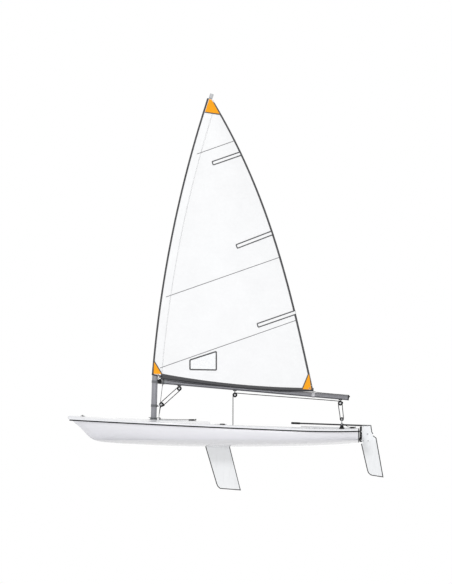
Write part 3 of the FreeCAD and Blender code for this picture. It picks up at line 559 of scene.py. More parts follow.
GREY_TAPE = Cloth("edge_grey_tape", "grey_tape", (0.315, 0.315, 0.32), 0.7, thread=0.0014, crease=0.0006)
SEAM_CLOTH = Cloth("seam_grey_thread", "grey_tape", (0.43, 0.43, 0.44), 0.7, thread=0.0014, crease=0.0006)
DARK_TAPE = Cloth("foot_dark_hem", "grey_tape", (0.20, 0.20, 0.21), 0.7, thread=0.0014, crease=0.0006)
WEBBING = Cloth(
    "strap_black_webbing", "webbing", (0.10, 0.10, 0.11), 0.8, thread=0.0024, crease=0.001, stitch_rows=(0.006, 0.044)
)
ROPE = Braid("braided_dark_rope", "rope", (0.085, 0.085, 0.09), 0.75, tracer=(0.20, 0.205, 0.21), shine=0.15)
CLEAR_FILM = Film("clear_window_film", "window_film", (0.95, 0.956, 0.964), 0.12)


# ---- modelling helpers
def deselect() -> None:
    """Leave every object and every element unselected, in object mode."""
    if bpy.context.mode != "OBJECT":
        bpy.ops.object.mode_set(mode="OBJECT")
    bpy.ops.object.select_all(action="DESELECT")


def pick(*pieces: Piece) -> None:
    """Select these pieces alone, the last of them active.

    Args:
        pieces: The pieces.
    """
    deselect()
    for piece in pieces:
        piece.select_set(True)
        bpy.context.view_layer.objects.active = piece


def edit(piece: Piece, everything: bool = True) -> None:
    """Enter edit mode on one piece with all of it selected, or nothing.

    Args:
        piece: The piece.
        everything: Whether all of it is selected.
    """
    pick(piece)
    bpy.ops.object.mode_set(mode="EDIT")
    bpy.ops.mesh.select_all(action="SELECT" if everything else "DESELECT")


def tidy(piece: Piece, merge: float = 1e-5) -> Piece:
    """Merge doubles, turn faces outwards and leave edit mode.

    Args:
        piece: The piece.
        merge: Distance under which points are doubles.

    Returns:
        The same piece.
    """
    edit(piece)
    bpy.ops.mesh.remove_doubles(threshold=merge)
    bpy.ops.mesh.normals_make_consistent(inside=False)
    bpy.ops.object.mode_set(mode="OBJECT")
    return piece


def choose_faces(piece: Piece, wanted: Callable[[Face], bool]) -> None:
    """In edit mode, select only the faces that a test picks.

    Args:
        piece: The piece that is being edited.
        wanted: The test.
    """
    bpy.ops.mesh.select_mode(type="FACE")
    bpy.ops.mesh.select_all(action="DESELECT")
    mesh = bmesh.from_edit_mesh(piece.data)
    for face in mesh.faces:
        face.select_set(wanted(face))
    bmesh.update_edit_mesh(piece.data)


def modify(piece: Piece, kind: str, **settings: object) -> Piece:
    """Add a modifier with its settings and apply it.

    Args:
        piece: The piece.
        kind: The modifier's type.
        settings: Its settings, by name.

    Returns:
        The same piece.
    """
    pick(piece)
    made = piece.modifiers.new(kind.lower(), kind)
    for key, value in settings.items():
        setattr(made, key, value)
    bpy.ops.object.modifier_apply(modifier=made.name)
    return piece


def walled(piece: Piece, thickness: float, merge: float = 1e-5) -> Piece:
    """Give a sheet its thickness, half of it on each side, and tidy it."""
    return tidy(modify(piece, "SOLIDIFY", thickness=thickness, offset=0.0), merge)


def turned(name: str, stations: Sequence[Spot], segments: int = 32) -> Piece:
    """Solid of revolution about Z, extruded up from a filled circle.

    Args:
        name: Name of the new piece.
        stations: Height and radius of each ring, from the foot to the top.
        segments: Sides of each ring.

    Returns:
        The piece, at the origin.
    """
    deselect()
    level, radius = stations[0]
    bpy.ops.mesh.primitive_circle_add(vertices=segments, radius=radius, fill_type="NGON", location=(0, 0, 0))
    piece = bpy.context.object
    piece.name = name
    edit(piece)
    bpy.ops.transform.translate(value=(0, 0, level))
    for height, wide in stations[1:]:
        bpy.ops.mesh.extrude_region_move(TRANSFORM_OT_translate={"value": (0, 0, height - level)})
        bpy.ops.transform.resize(value=(wide / radius, wide / radius, 1), center_override=(0, 0, height))
        level, radius = height, wide
    return tidy(piece)


def slab(name: str, outline: Sequence[Spot], low: float, high: float, bevel: float = 0.0) -> Piece:
    """Flat plate in plan, extruded up from a filled ring of points.

    Args:
        name: Name of the new piece.
        outline: Corners (x, y), in order.
        low: Height of the underside.
        high: Height of the top.
        bevel: Width of the rounding of all its edges.

    Returns:
        The piece.
    """
    deselect()
    bpy.ops.mesh.primitive_circle_add(vertices=len(outline), radius=1, fill_type="NGON", location=(0, 0, 0))
    piece = bpy.context.object
    piece.name = name
    for vertex, (x, y) in zip(piece.data.vertices, outline):
        vertex.co = (x, y, low)
    edit(piece)
    bpy.ops.mesh.extrude_region_move(TRANSFORM_OT_translate={"value": (0, 0, high - low)})
    tidy(piece)
    if bevel:
        modify(piece, "BEVEL", width=bevel, segments=2, limit_method="ANGLE", angle_limit=math.radians(30))
    return piece


def draped(name: str, columns: int, rows: int, place: Place, flat: Spot | None = None) -> Piece:
    """Grid laid over a surface, with its map in metres.

    Args:
        name: Name of the new piece.
        columns: Faces along the first direction.
        rows: Faces along the second direction.
        place: Point of the surface for two shares from 0 to 1.
        flat: Size of the flat piece, for the map; without it the map is the place's x and z.

    Returns:
        The piece.
    """
    deselect()
    bpy.ops.mesh.primitive_grid_add(
        x_subdivisions=columns, y_subdivisions=rows, size=1, calc_uvs=True, location=(0, 0, 0)
    )
    piece = bpy.context.object
    piece.name = name
    for vertex in piece.data.vertices:
        vertex.co = place(vertex.co.x + 0.5, vertex.co.y + 0.5)
    piece.data.update()
    if flat is None:
        return mapped(piece)
    for corner in piece.data.uv_layers.active.data:
        corner.uv = (corner.uv.x * flat[0], corner.uv.y * flat[1])
    return piece


def mapped(piece: Piece) -> Piece:
    """Write a piece's map from the x and z of its points.

    Args:
        piece: The piece.

    Returns:
        The same piece.
    """
    for loop, corner in zip(piece.data.loops, piece.data.uv_layers.active.data):
        corner.uv = piece.data.vertices[loop.vertex_index].co.xz
    return piece


def layer_area(piece: Piece) -> float:
    """Area of a cloth of one layer, before it gets its thickness."""
    return sum(face.area for face in piece.data.polygons)


def run_length(points: Sequence[Vector]) -> float:
    """Length of the way through some points."""
    return sum((b - a).length for a, b in zip(points, points[1:]))


def joined(name: str, pieces: Sequence[Piece]) -> Piece:
    """One piece from several, under a new name.

    Args:
        name: The new name.
        pieces: The pieces; the last one takes the others in.

    Returns:
        The last piece.
    """
    if len(pieces) > 1:
        pick(*pieces)
        bpy.ops.object.join()
    piece = pieces[-1]
    piece.name = name
    piece.data.name = name
    return piece


def moved(piece: Piece, matrix: Matrix) -> Piece:
    """Move a piece's mesh, so that its object stays at the origin.

    Args:
        piece: The piece.
        matrix: The movement.

    Returns:
        The same piece.
    """
    piece.data.transform(matrix)
    piece.data.update()
    return piece


def copy_of(piece: Piece, matrix: Matrix) -> Piece:
    """Copy of a piece with its own mesh, moved.

    Args:
        piece: The piece.
        matrix: Where the copy goes.

    Returns:
        The copy.
    """
    twin = piece.copy()
    twin.data = piece.data.copy()
    bpy.context.scene.collection.objects.link(twin)
    return moved(twin, matrix)


def copies(source: Piece, name: str, matrices: Sequence[Matrix]) -> Piece:
    """One piece of several copies of a source, which is removed.

    Args:
        source: Piece that is copied.
        name: Name of the new piece.
        matrices: Where each copy goes.

    Returns:
        The new piece.
    """
    twins = [copy_of(source, matrix) for matrix in matrices]
    bpy.data.objects.remove(source)
    return joined(name, twins)


def facing(at: Point, axis: Point) -> Matrix:
    """Matrix that stands a piece's Z along an axis at a place.

    Args:
        at: Where its origin goes.
        axis: Where its Z points.

    Returns:
        The matrix.
    """
    turn = Vector(UP).rotation_difference(Vector(axis)).to_matrix().to_4x4()
    return Matrix.Translation(Vector(at)) @ turn


def finished(
    piece: Piece, body: str, finish: Finish, smooth: float = 40.0, replaces: Sequence[str] = ()
) -> Piece:
    """Shade, dress and mount a piece on its body.

    Args:
        piece: The finished mesh.
        body: Name of the CAD body that it rides on; empty leaves it unmounted.
        finish: Its main finish, which covers it if its parts have none of their own.
        smooth: Angle in degrees under which edges are smooth.
        replaces: CAD nodes that it stands for.

    Returns:
        The piece.
    """
    pick(piece)
    bpy.ops.object.shade_smooth_by_angle(angle=math.radians(smooth))
    if not piece.data.materials:
        piece.data.materials.append(finish.material())
    if body:
        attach(piece, body)
    if replaces:
        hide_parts(*replaces)
    return piece


def coloured(piece: Piece, finish: Finish) -> Piece:
    """Give a part one finish in place of what it has.

    Args:
        piece: The part.
        finish: The finish.

    Returns:
        The same part.
    """
    piece.data.materials.clear()
    piece.data.materials.append(finish.material())
    return piece


def mirrored(points: Sequence[Spot], flip: int = 1) -> list[Spot]:
    """Points, and then the same in reverse with the sign of one coordinate turned."""
    return [*points, *((a, -b) if flip else (-a, b) for a, b in reversed(points))]


def scaled(profile: Iterable[Spot], along: float, out: float) -> list[Spot]:
    """Profile with its heights and its radii each multiplied by a factor."""
    return [(height * along, radius * out) for height, radius in profile]


def in_plane(spots: Iterable[Spot], y: float = 0.0) -> list[Triple]:
    """Points of space for places (x, z) in one fore and aft plane."""
    return [(x, y, z) for x, z in spots]


def surface_height(node: Piece, x: float, y: float) -> float:
    """Height of a CAD node's top at a place in plan."""
    hit, where, _, _ = node.ray_cast(Vector((x, y, 2.0)), Vector(DOWN))
    return where.z if hit else 0.0


@dataclass(frozen=True)
class Rope:
    """A tight or lying line: its thickness, and how its strands lie."""

    radius: float = 0.004
    sides: int = 12
    step: float = 0.006
    strands: int = 4
    strand_depth: float = 0.05
    lay: float = 0.055

    def centreline(self, route: Sequence[Point]) -> list[Vector]:
        """Evenly spaced points of the smooth curve that a route controls.

        Args:
            route: Control points.

        Returns:
            Points along the curve.
        """
        curve = bpy.data.curves.new("route", "CURVE")
        curve.dimensions = "3D"
        curve.resolution_u = 24
        spline = curve.splines.new("NURBS")
        spline.points.add(len(route) - 1)
        for point, at in zip(spline.points, route):
            point.co = (*at, 1.0)
        spline.order_u = min(3, len(route))
        spline.use_endpoint_u = True
        holder = bpy.data.objects.new("route", curve)
        bpy.context.scene.collection.objects.link(holder)
        mesh = bpy.data.meshes.new_from_object(holder)
        raw = [vertex.co.copy() for vertex in mesh.vertices]
        bpy.data.objects.remove(holder)
        bpy.data.meshes.remove(mesh)
        lengths = [0.0, *accumulate((b - a).length for a, b in zip(raw, raw[1:]))]
        count = max(2, round(lengths[-1] / self.step))
        points, k = [], 0
        for i in range(count + 1):
            target = lengths[-1] * i / count
            while k < len(raw) - 2 and lengths[k + 1] < target:
                k += 1
            span = max(lengths[k + 1] - lengths[k], 1e-9)
            points.append(raw[k].lerp(raw[k + 1], (target - lengths[k]) / span))
        return points

    def lay_along(self, name: str, route: Sequence[Point]) -> Piece:
        """Closed tube of twisted strands along a route.

        Args:
            name: Name of the new piece.
            route: Control points of its curve.

        Returns:
            The piece, not yet mounted.
        """
        line = self.centreline(route)
        last = len(line) - 1
        ahead = [(line[min(i + 1, last)] - line[max(i - 1, 0)]).normalized() for i in range(last + 1)]
        side = ahead[0].orthogonal().normalized()
        sides = []
        for heading in ahead:
            side = (side - heading * side.dot(heading)).normalized()
            sides.append(side)
        length = run_length(line)

        def skin(share: float, along: float) -> Vector:
            """Point of the skin.

            Args:
                share: Share of the way round the rope.
                along: Share of the way along it.

            Returns:
                The point.
            """
            i = round(along * last)
            angle = FULL_TURN * share
            twist = self.strands * (angle - FULL_TURN * along * length / self.lay)
            radius = self.radius * (1 - self.strand_depth + self.strand_depth * math.cos(twist))
            other = ahead[i].cross(sides[i])
            return line[i] + sides[i] * (radius * math.cos(angle)) + other * (radius * math.sin(angle))

        piece = draped(name, self.sides, last, skin, (1.0, length))
        edit(piece)
        bpy.ops.mesh.remove_doubles(threshold=1e-6)
        bpy.ops.mesh.select_mode(type="EDGE")
        bpy.ops.mesh.select_all(action="DESELECT")
        bpy.ops.mesh.select_non_manifold()
        bpy.ops.mesh.fill_holes(sides=0)
        bpy.ops.object.mode_set(mode="OBJECT")
        return tidy(piece, 1e-6)


SHEET_ROPE = Rope(0.006)
CONTROL_ROPE = Rope(0.0038, 10)


# ---- shapes of the rig
class Side(Enum):
    """The boat's two sides, as the sign of y."""

    PORT = 1
    STARBOARD = -1


@dataclass(frozen=True)
class BoomLine:
    """Axis of the boom, by its x."""

    front: Spot = (0.928, 0.8424)
    aft: Spot = (-1.764, 0.605)
    radius: float = 0.035

    def z(self, x: float, off: float = 0.0) -> float:
        """Height of the axis at x, or that much above it."""
        share = (x - self.front[0]) / (self.aft[0] - self.front[0])
        return self.front[1] + share * (self.aft[1] - self.front[1]) + off

    def direction(self) -> Vector:
        """Unit vector from the boom's aft end to its front."""
        return Vector((self.front[0] - self.aft[0], 0, self.front[1] - self.aft[1])).normalized()


@dataclass(frozen=True)
class SailShape:
    """The sail with its sleeve: where a share of its height and a distance behind the spar are in space."""

    arc_centre: Spot = (-16.05275, -0.42225)
    arc_radius: float = 17.136
    leans: Spot = (4.62, 18.13)
    clew: Spot = (-1.238, 0.702)
    head: Spot = (0.212, 4.899)
    roach: float = 0.204
    leech_spare: float = 0.014
    sections: tuple[Triple, ...] = (
        (0.0, 0.112, 0.056), (0.10, 0.128, 0.022), (0.28, 0.145, 0.0), (0.50, 0.138, 0.0),
        (0.72, 0.104, 0.0), (0.90, 0.050, 0.0), (1.0, 0.006, 0.0),
    )
    forward_draft: float = 0.2
    sleeve_radius: float = 0.046
    sleeve_tail: float = 0.11
    cloth: float = 0.0012
    crease: float = 0.0022
    creases: int = 13
    crease_reach: float = 0.5
    tack_z: float = 0.83
    height: float = 4.1
    foot_drop: Spot = (0.034, 0.004)
    sleeve_foot: float = -0.0075
    tack_hang: Spot = (0.045, 0.12)

    def arc(self, lean: float) -> Ray:
        """Point of the bent spar's axis, and the unit vector up along it.

        Args:
            lean: Aft lean of the spar there, in degrees.

        Returns:
            The point, and the vector.
        """
        turn = math.radians(lean)
        x = self.arc_centre[0] + self.arc_radius * math.cos(turn)
        z = self.arc_centre[1] + self.arc_radius * math.sin(turn)
        return Vector((x, 0, z)), Vector((-math.sin(turn), 0, math.cos(turn)))

    def spar(self, share: float) -> Ray:
        """Point of the spar's axis and its heading at a share of the sail's height."""
        return self.arc(self.leans[0] + share * (self.leans[1] - self.leans[0]))

    def leech(self, share: float) -> Vector:
        """Point of the leech at a share of its height."""
        x, z = (low + (high - low) * share for low, high in zip(self.clew, self.head))
        return Vector((x - 4 * share * (1 - share) * self.roach * (1 + 0.7 * (share - 0.5)) - self.leech_spare, 0, z))

    def belly(self, share: float) -> Spot:
        """Depth to port and sag, through the sections by a smooth cubic.

        Args:
            share: Share of the sail's height.

        Returns:
            The depth, and the sag.
        """
        rows = self.sections
        share = min(max(share, 0.0), 1.0)
        k = max(i for i in range(len(rows) - 1) if rows[i][0] <= share)
        low, high = rows[k], rows[k + 1]
        span = high[0] - low[0]
        t = (share - low[0]) / span
        h = t * t * (3 - 2 * t)
        out = []
        for column in (1, 2):
            slopes = []
            for i in (k, k + 1):
                a, b = rows[max(i - 1, 0)], rows[min(i + 1, len(rows) - 1)]
                slopes.append((b[column] - a[column]) / (b[0] - a[0]) * span)
            level = low[column] * (1 - h) + high[column] * h
            out.append(level + slopes[0] * t * (1 - t) ** 2 - slopes[1] * t * t * (1 - t))
        return out[0], out[1]

    def foot_share(self, across: float) -> float:
        """Share of the height at which the foot's edge lies, below 0 because the foot hangs down."""
        front, aft = self.foot_drop
        return -(front + (aft - front) * across + self.hang(across)) / self.height

    def hang(self, across: float) -> float:
        """How much further the foot hangs towards the tack, in metres."""
        return self.tack_hang[0] * math.exp(-across / self.tack_hang[1])

    def fabric(self, share: float, across: float) -> Vector:
        """Point of the sail's cloth.

        Args:
            share: Share of the sail's height.
            across: Share of the way from the spar's axis to the leech.

        Returns:
            The point.
        """
        depth, sag = self.belly(share)
        arc = 4 * across * (1 - across)
        point = self.spar(share)[0].lerp(self.leech(share), across)
        point.z -= sag * arc
        east, north = point.x - self.clew[0], point.z - self.clew[1]
        pull = math.exp(-math.hypot(east, north) / self.crease_reach)
        fan = math.sin(self.creases * math.atan2(north, east + 0.05))
        ripple = math.sin(19 * share + 3 * across) * arc * 0.5
        point.y = depth * arc * (1 + self.forward_draft * (1 - 2 * across)) + self.crease * (pull * fan + ripple)
        return point

    def chord(self, share: float) -> float:
        """Straight distance from the spar's axis to the leech."""
        return (self.leech(share) - self.spar(share)[0]).length

    def tail(self, share: float) -> float:
        """Distance behind the spar's axis at which the sleeve's two sides meet."""
        return max(min(self.sleeve_tail, self.chord(share)), self.sleeve_radius * 1.02)

    def cloth_start(self, share: float) -> float:
        """Share of the way to the leech at which the cloth starts, inside the sleeve's tail."""
        return min(self.tail(share) - 0.012, self.chord(share) - 0.003) / self.chord(share)

    def sleeve_turn(self, share: float) -> float:
        """Angle by which the sail's belly turns the sleeve's front away from straight ahead, in radians."""
        back = self.fabric(share, min(1.0, self.tail(share) / self.chord(share))) - self.spar(share)[0]
        return math.atan2(back.y, math.hypot(back.x, back.z))

    def skin(self, share: float, behind: float, side: Side) -> Ray:
        """Outer surface on one side.

        Args:
            share: Share of the sail's height.
            behind: Distance behind the spar's axis; in front of it below 0.
            side: Side of the sail.

        Returns:
            The point, and the direction outwards there.
        """
        chord, tail, radius = self.chord(share), self.tail(share), self.sleeve_radius
        centre, heading = self.spar(share)
        if behind >= tail:
            across = behind / chord
            point = self.fabric(share, across)
            aft = self.fabric(share, across + 0.002) - self.fabric(share, across - 0.002)
            up = self.fabric(share + 0.002, across) - self.fabric(share - 0.002, across)
            out = aft.cross(up).normalized() * side.value
            return point + out * (self.cloth / 2), out
        back = self.fabric(share, min(1.0, tail / chord)) - centre
        reach = max(back.length, tail)
        back.normalize()
        wide = back.cross(heading).normalized()
        wide *= side.value if wide.y > 0 else -side.value
        at = behind * reach / tail if behind > 0 else max(behind, -radius)
        touch = radius * radius / reach
        if at <= touch:
            half = math.sqrt(max(radius * radius - at * at, 0.0))
            return centre + back * at + wide * half, (back * at + wide * half).normalized()
        half = (reach - at) * radius / math.sqrt(reach * reach - radius * radius)
        out = (back * touch + wide * math.sqrt(radius * radius - touch * touch)).normalized()
        return centre + back * at + wide * half, out

    def find(self, x: float, z: float, side: Side) -> Ray:
        """Outer surface above a place in the plane of the mast.

        Args:
            x: The place's x.
            z: The place's z.
            side: Side of the sail.

        Returns:
            The point, and the direction outwards there.
        """
        share = min(max((z - self.tack_z) / self.height, 0.0), 1.0)
        behind = self.spar(share)[0].x - x
        for _ in range(9):
            point, out = self.skin(share, behind, side)
            share = min(max(share + (z - point.z) / self.height, -0.01), 1.01)
            behind = min(max(behind - (x - point.x), -self.sleeve_radius), self.chord(share))
        return point, out


def lifted(place: Ray, lift: float) -> Vector:
    """Point that much above a place of a surface, which is its point and its direction outwards."""
    return place[0] + place[1] * lift


BOOM = BoomLine()
SAIL = SailShape()


# ---- small hardware
def lathed(stations: Sequence[Spot], at: Point, axis: Point, finish: Finish, segments: int = 16) -> Piece:
    """Turned part with its finish, stood along an axis at a place."""
    return coloured(moved(turned("part", stations, segments), facing(at, axis)), finish)


def screws(name: str, body: str, places: Sequence[tuple[Point, Point]], radius: float = 0.0042) -> Piece:
    """Row of pan-head screws with a socket, all in one piece.

    Args:
        name: Name of the piece.
        body: Body that it rides on.
        places: Where each one stands, and where it points.
        radius: Radius of a head.

    Returns:
        The piece.
    """
    profile = [(-0.3, 1), (0.12, 1), (0.4, 0.86), (0.55, 0.55), (0.55, 0.36), (0.15, 0.3)]
    head = turned("screw", scaled(profile, radius, radius), 14)
    piece = copies(head, name, [facing(at, axis) for at, axis in places])
    return finished(piece, body, STEEL, smooth=35)


def on_top(node: Piece, places: Iterable[Spot]) -> list[tuple[Point, Point]]:
    """Places in plan put on top of a CAD node, pointing up."""
    return [((x, y, surface_height(node, x, y)), UP) for x, y in places]


def arm(a: Spot, b: Spot, width: float, y: float, thick: float, finish: Finish) -> Piece:
    """Flat link with round ends in a plane of x and z.

    Args:
        a: Centre of its first end (x, z).
        b: Centre of its other end.
        width: Its width.
        y: Middle of its thickness.
        thick: Its thickness.
        finish: Its finish.

    Returns:
        The link.
    """
    heading = math.atan2(b[1] - a[1], b[0] - a[0])
    outline = []
    for centre, start in ((b, -90), (a, 90)):
        for step in range(7):
            angle = heading + math.radians(start + step * 30)
            outline.append((centre[0] + width / 2 * math.cos(angle), centre[1] + width / 2 * math.sin(angle)))
    link = slab("arm", outline, -thick / 2, thick / 2, min(0.0006, thick * 0.3))
    moved(link, Matrix.Translation((0, y, 0)) @ Matrix.Rotation(math.radians(90), 4, "X"))
    return coloured(link, finish)


def links(a: Spot, b: Spot, width: float, y: float, thick: float, finish: Finish, middle: float = 0.0) -> list[Piece]:
    """Two equal flat links, one on each side of a middle plane."""
    return [arm(a, b, width, middle + side.value * y, thick, finish) for side in Side]


def plate(x: float, half: Spot, cut: Spot, low: float, high: float, bevel: float) -> Piece:
    """Flat plate across the centreline, with its corners cut off.

    Args:
        x: Its middle.
        half: Half its lengths along x and y.
        cut: What each corner loses along x and y.
        low: Height of its underside.
        high: Height of its top.
        bevel: Width of the rounding of its edges.

    Returns:
        The plate.
    """
    inner, side = half[0] - cut[0], cut[1] - half[1]
    edge = [(x - half[0], side), (x - inner, -half[1]), (x + inner, -half[1]), (x + half[0], side)]
    return slab("plate", mirrored(edge), low, high, bevel)


@dataclass(frozen=True)
class Pulley:
    """Rope block: two ring cheeks with pale hubs, a grooved wheel and a pin."""

    radius: float = 0.035
    half: float = 0.011

    def build(self, at: Point) -> list[Piece]:
        """Parts of one block with its pin along Y.

        Args:
            at: Its centre.

        Returns:
            The parts, each with its own finish.
        """
        r, h = self.radius, self.half
        low = 0.55 * h
        cheek = [
            (low, 0.93 * r), (low + 0.0004, r), (h - 0.045 * r, r), (h, 0.95 * r), (h, 0.43 * r),
            (h - 0.04 * r, 0.38 * r), (h - 0.1 * r, 0.36 * r),
        ]
        hub = [(low, 0.35 * r), (h - 0.05 * r, 0.35 * r), (h - 0.02 * r, 0.32 * r), (h - 0.005 * r, 0.22 * r)]
        tip = h + 0.05 * r
        pin = [(low, 0.15 * r), (h + 0.02 * r, 0.15 * r), (tip, 0.12 * r), (tip, 0.06 * r), (h, 0.05 * r)]
        groove = mirrored([(0.0003 - low, 0.91 * r), (0.001 - low, 0.93 * r), (-0.001, 0.72 * r)], 0)
        half = ((cheek, 40, BLACK), (hub, 32, PALE), (pin, 16, STEEL))
        parts = [coloured(turned("part", stations, segments), finish) for stations, segments, finish in half]
        parts += [copy_of(part, Matrix.Rotation(math.pi, 4, "X")) for part in parts]
        parts.append(coloured(turned("wheel", groove, 40), GREY))
        return [moved(part, facing(at, ACROSS)) for part in parts]


@dataclass
class Blocks:
    """Every rope block of the boat, each in the place of its plain CAD node."""

    deck: Piece
    sheave: Pulley = field(default_factory=Pulley)
    small: Pulley = Pulley(0.028, 0.010)
    tiny: Pulley = Pulley(0.013, 0.007)
    node_radius: float = 0.032
    link_gap: float = 0.0014
    rim: float = 0.78
    rivet: Spots = ((-0.001, 0.004), (0.0008, 0.0042), (0.0018, 0.003), (0.0018, 0.0016), (0.0006, 0.0014))
    floor_screw: Spots = ((0, 0.0035), (0.001, 0.0035), (0.0018, 0.0025), (0.0018, 0.0015), (0.0006, 0.0012))
    stand: Spots = (
        (0, 0.027), (0.003, 0.027), (0.005, 0.025), (0.007, 0.016), (0.012, 0.012), (0.026, 0.0105), (0.030, 0.0125),
        (0.034, 0.0125), (0.040, 0.010),
    )

    def centre(self, node: str, radius: float, low: bool = True) -> Spot:
        """Centre (x, z) of a block from its node's box.

        Args:
            node: The CAD node.
            radius: The block's radius.
            low: Whether the wheel is at the box's foot, and not at its top.

        Returns:
            The centre.
        """
        lo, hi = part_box(node)
        return (lo.x + hi.x) / 2, (lo.z + radius if low else hi.z - radius)

    def hung(self, name: str, node: str) -> Piece:
        """Block that hangs under the boom from a saddle and two straps.

        Args:
            name: Name of the piece.
            node: The CAD node that it stands for.

        Returns:
            The block.
        """
        x, z = self.centre(node, self.node_radius)
        top = BOOM.z(x, -BOOM.radius)
        y = self.sheave.half + self.link_gap
        pin = mirrored([(-y - 0.003, 0.004), (-y - 0.002, 0.005)], 0)
        parts = self.sheave.build((x, 0, z))
        parts += links((x, z + self.rim * self.sheave.radius), (x, top - 0.006), 0.014, y, 0.0016, BLACK)
        parts.append(coloured(plate(x, (0.026, 0.013), (0.006, 0.004), top - 0.009, top + 0.002, 0.0012), BLACK))
        parts.append(lathed(pin, (x, 0, top - 0.006), ACROSS, STEEL))
        parts += [lathed(self.rivet, (x + off, 0, top - 0.009), DOWN, STEEL, 14) for off in (-0.019, 0.019)]
        return finished(joined(name, parts), "rig", BLACK, replaces=[node])

    def vang_mast(self) -> Piece:
        """Block behind the mast, on a shackle to the vang's bracket.

        Returns:
            The block.
        """
        lo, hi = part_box("vang_mast_block")
        x, z = lo.x + self.node_radius, (lo.z + hi.z) / 2
        ear = (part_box("vang_bracket")[0].x + 0.008, z - 0.020)
        y = self.sheave.half + self.link_gap
        bolt = [
            (-y - 0.004, 0.004), (-y - 0.003, 0.0055), (-y - 0.001, 0.0055), (-y - 0.001, 0.003), (y + 0.002, 0.003),
            (y + 0.003, 0.002),
        ]
        parts = self.sheave.build((x, 0, z)) + links((x, z), ear, 0.012, y, 0.0016, STEEL)
        parts.append(lathed(bolt, (ear[0], 0, ear[1]), ACROSS, STEEL, 12))
        return finished(joined("vang_mast_pulley", parts), "rig", BLACK, replaces=["vang_mast_block"])

    def cockpit(self) -> Piece:
        """Block on a round stand on the cockpit's floor.

        Returns:
            The block.
        """
        x, z = self.centre("cockpit_block", self.node_radius, low=False)
        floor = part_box("cockpit_block")[0].z
        parts = self.sheave.build((x, 0, z))
        parts.append(lathed(self.stand, (x, 0, floor), UP, BLACK, 32))
        parts += links((x, z), (x, floor + 0.034), 0.016, self.sheave.half + self.link_gap, 0.002, STEEL)
        for turn in (0.8, 2.35, 3.93, 5.5):
            at = (x + 0.021 * math.cos(turn), 0.021 * math.sin(turn), floor + 0.0042)
            parts.append(lathed(self.floor_screw, at, UP, STEEL, 12))
        return finished(joined("cockpit_pulley", parts), "hull", BLACK, replaces=["cockpit_block"])

    def traveller(self) -> Piece:
        """Block that rides on the traveller rope by a link below it.

        Returns:
            The block.
        """
        x, z = self.centre("traveller_block", self.small.radius)
        roller = mirrored([(-0.0135, 0.004), (-0.0125, 0.005), (-0.011, 0.005), (-0.009, 0.003)], 0)
        parts = self.small.build((x, 0, z))
        parts += links((x, z), (x, z - 0.034), 0.012, self.small.half + self.link_gap, 0.0016, STEEL)
        parts.append(lathed(roller, (x, 0, z - 0.034), ACROSS, STEEL))
        return finished(joined("traveller_pulley", parts), "hull", BLACK, replaces=["traveller_block"])

    def mast_base(self) -> Piece:
        """Three small turning blocks on one plate behind the mast.

        Returns:
            The blocks.
        """
        lo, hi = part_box("mast_base_blocks")
        x, z = (lo.x + hi.x) / 2, hi.z - self.tiny.radius
        top = z - 0.010
        low = surface_height(self.deck, x, 0) - 0.003
        parts = [coloured(plate(x, (0.016, 0.046), (0.006, 0.006), low, top, 0.001), BLACK)]
        for y in (-0.028, 0.0, 0.028):
            parts += self.tiny.build((x, y, z)) + links((x, z), (x, top - 0.002), 0.012, 0.0082, 0.0014, STEEL, y)
        return finished(joined("mast_base_pulleys", parts), "hull", BLACK, replaces=["mast_base_blocks"])

    def build(self) -> list[Piece]:
        """All the blocks."""
        hung = [self.hung(f"{place}_pulley", f"{place}_block") for place in ("mid_boom", "aft_boom", "vang_boom")]
        return [*hung, self.vang_mast(), self.cockpit(), self.traveller(), self.mast_base()]


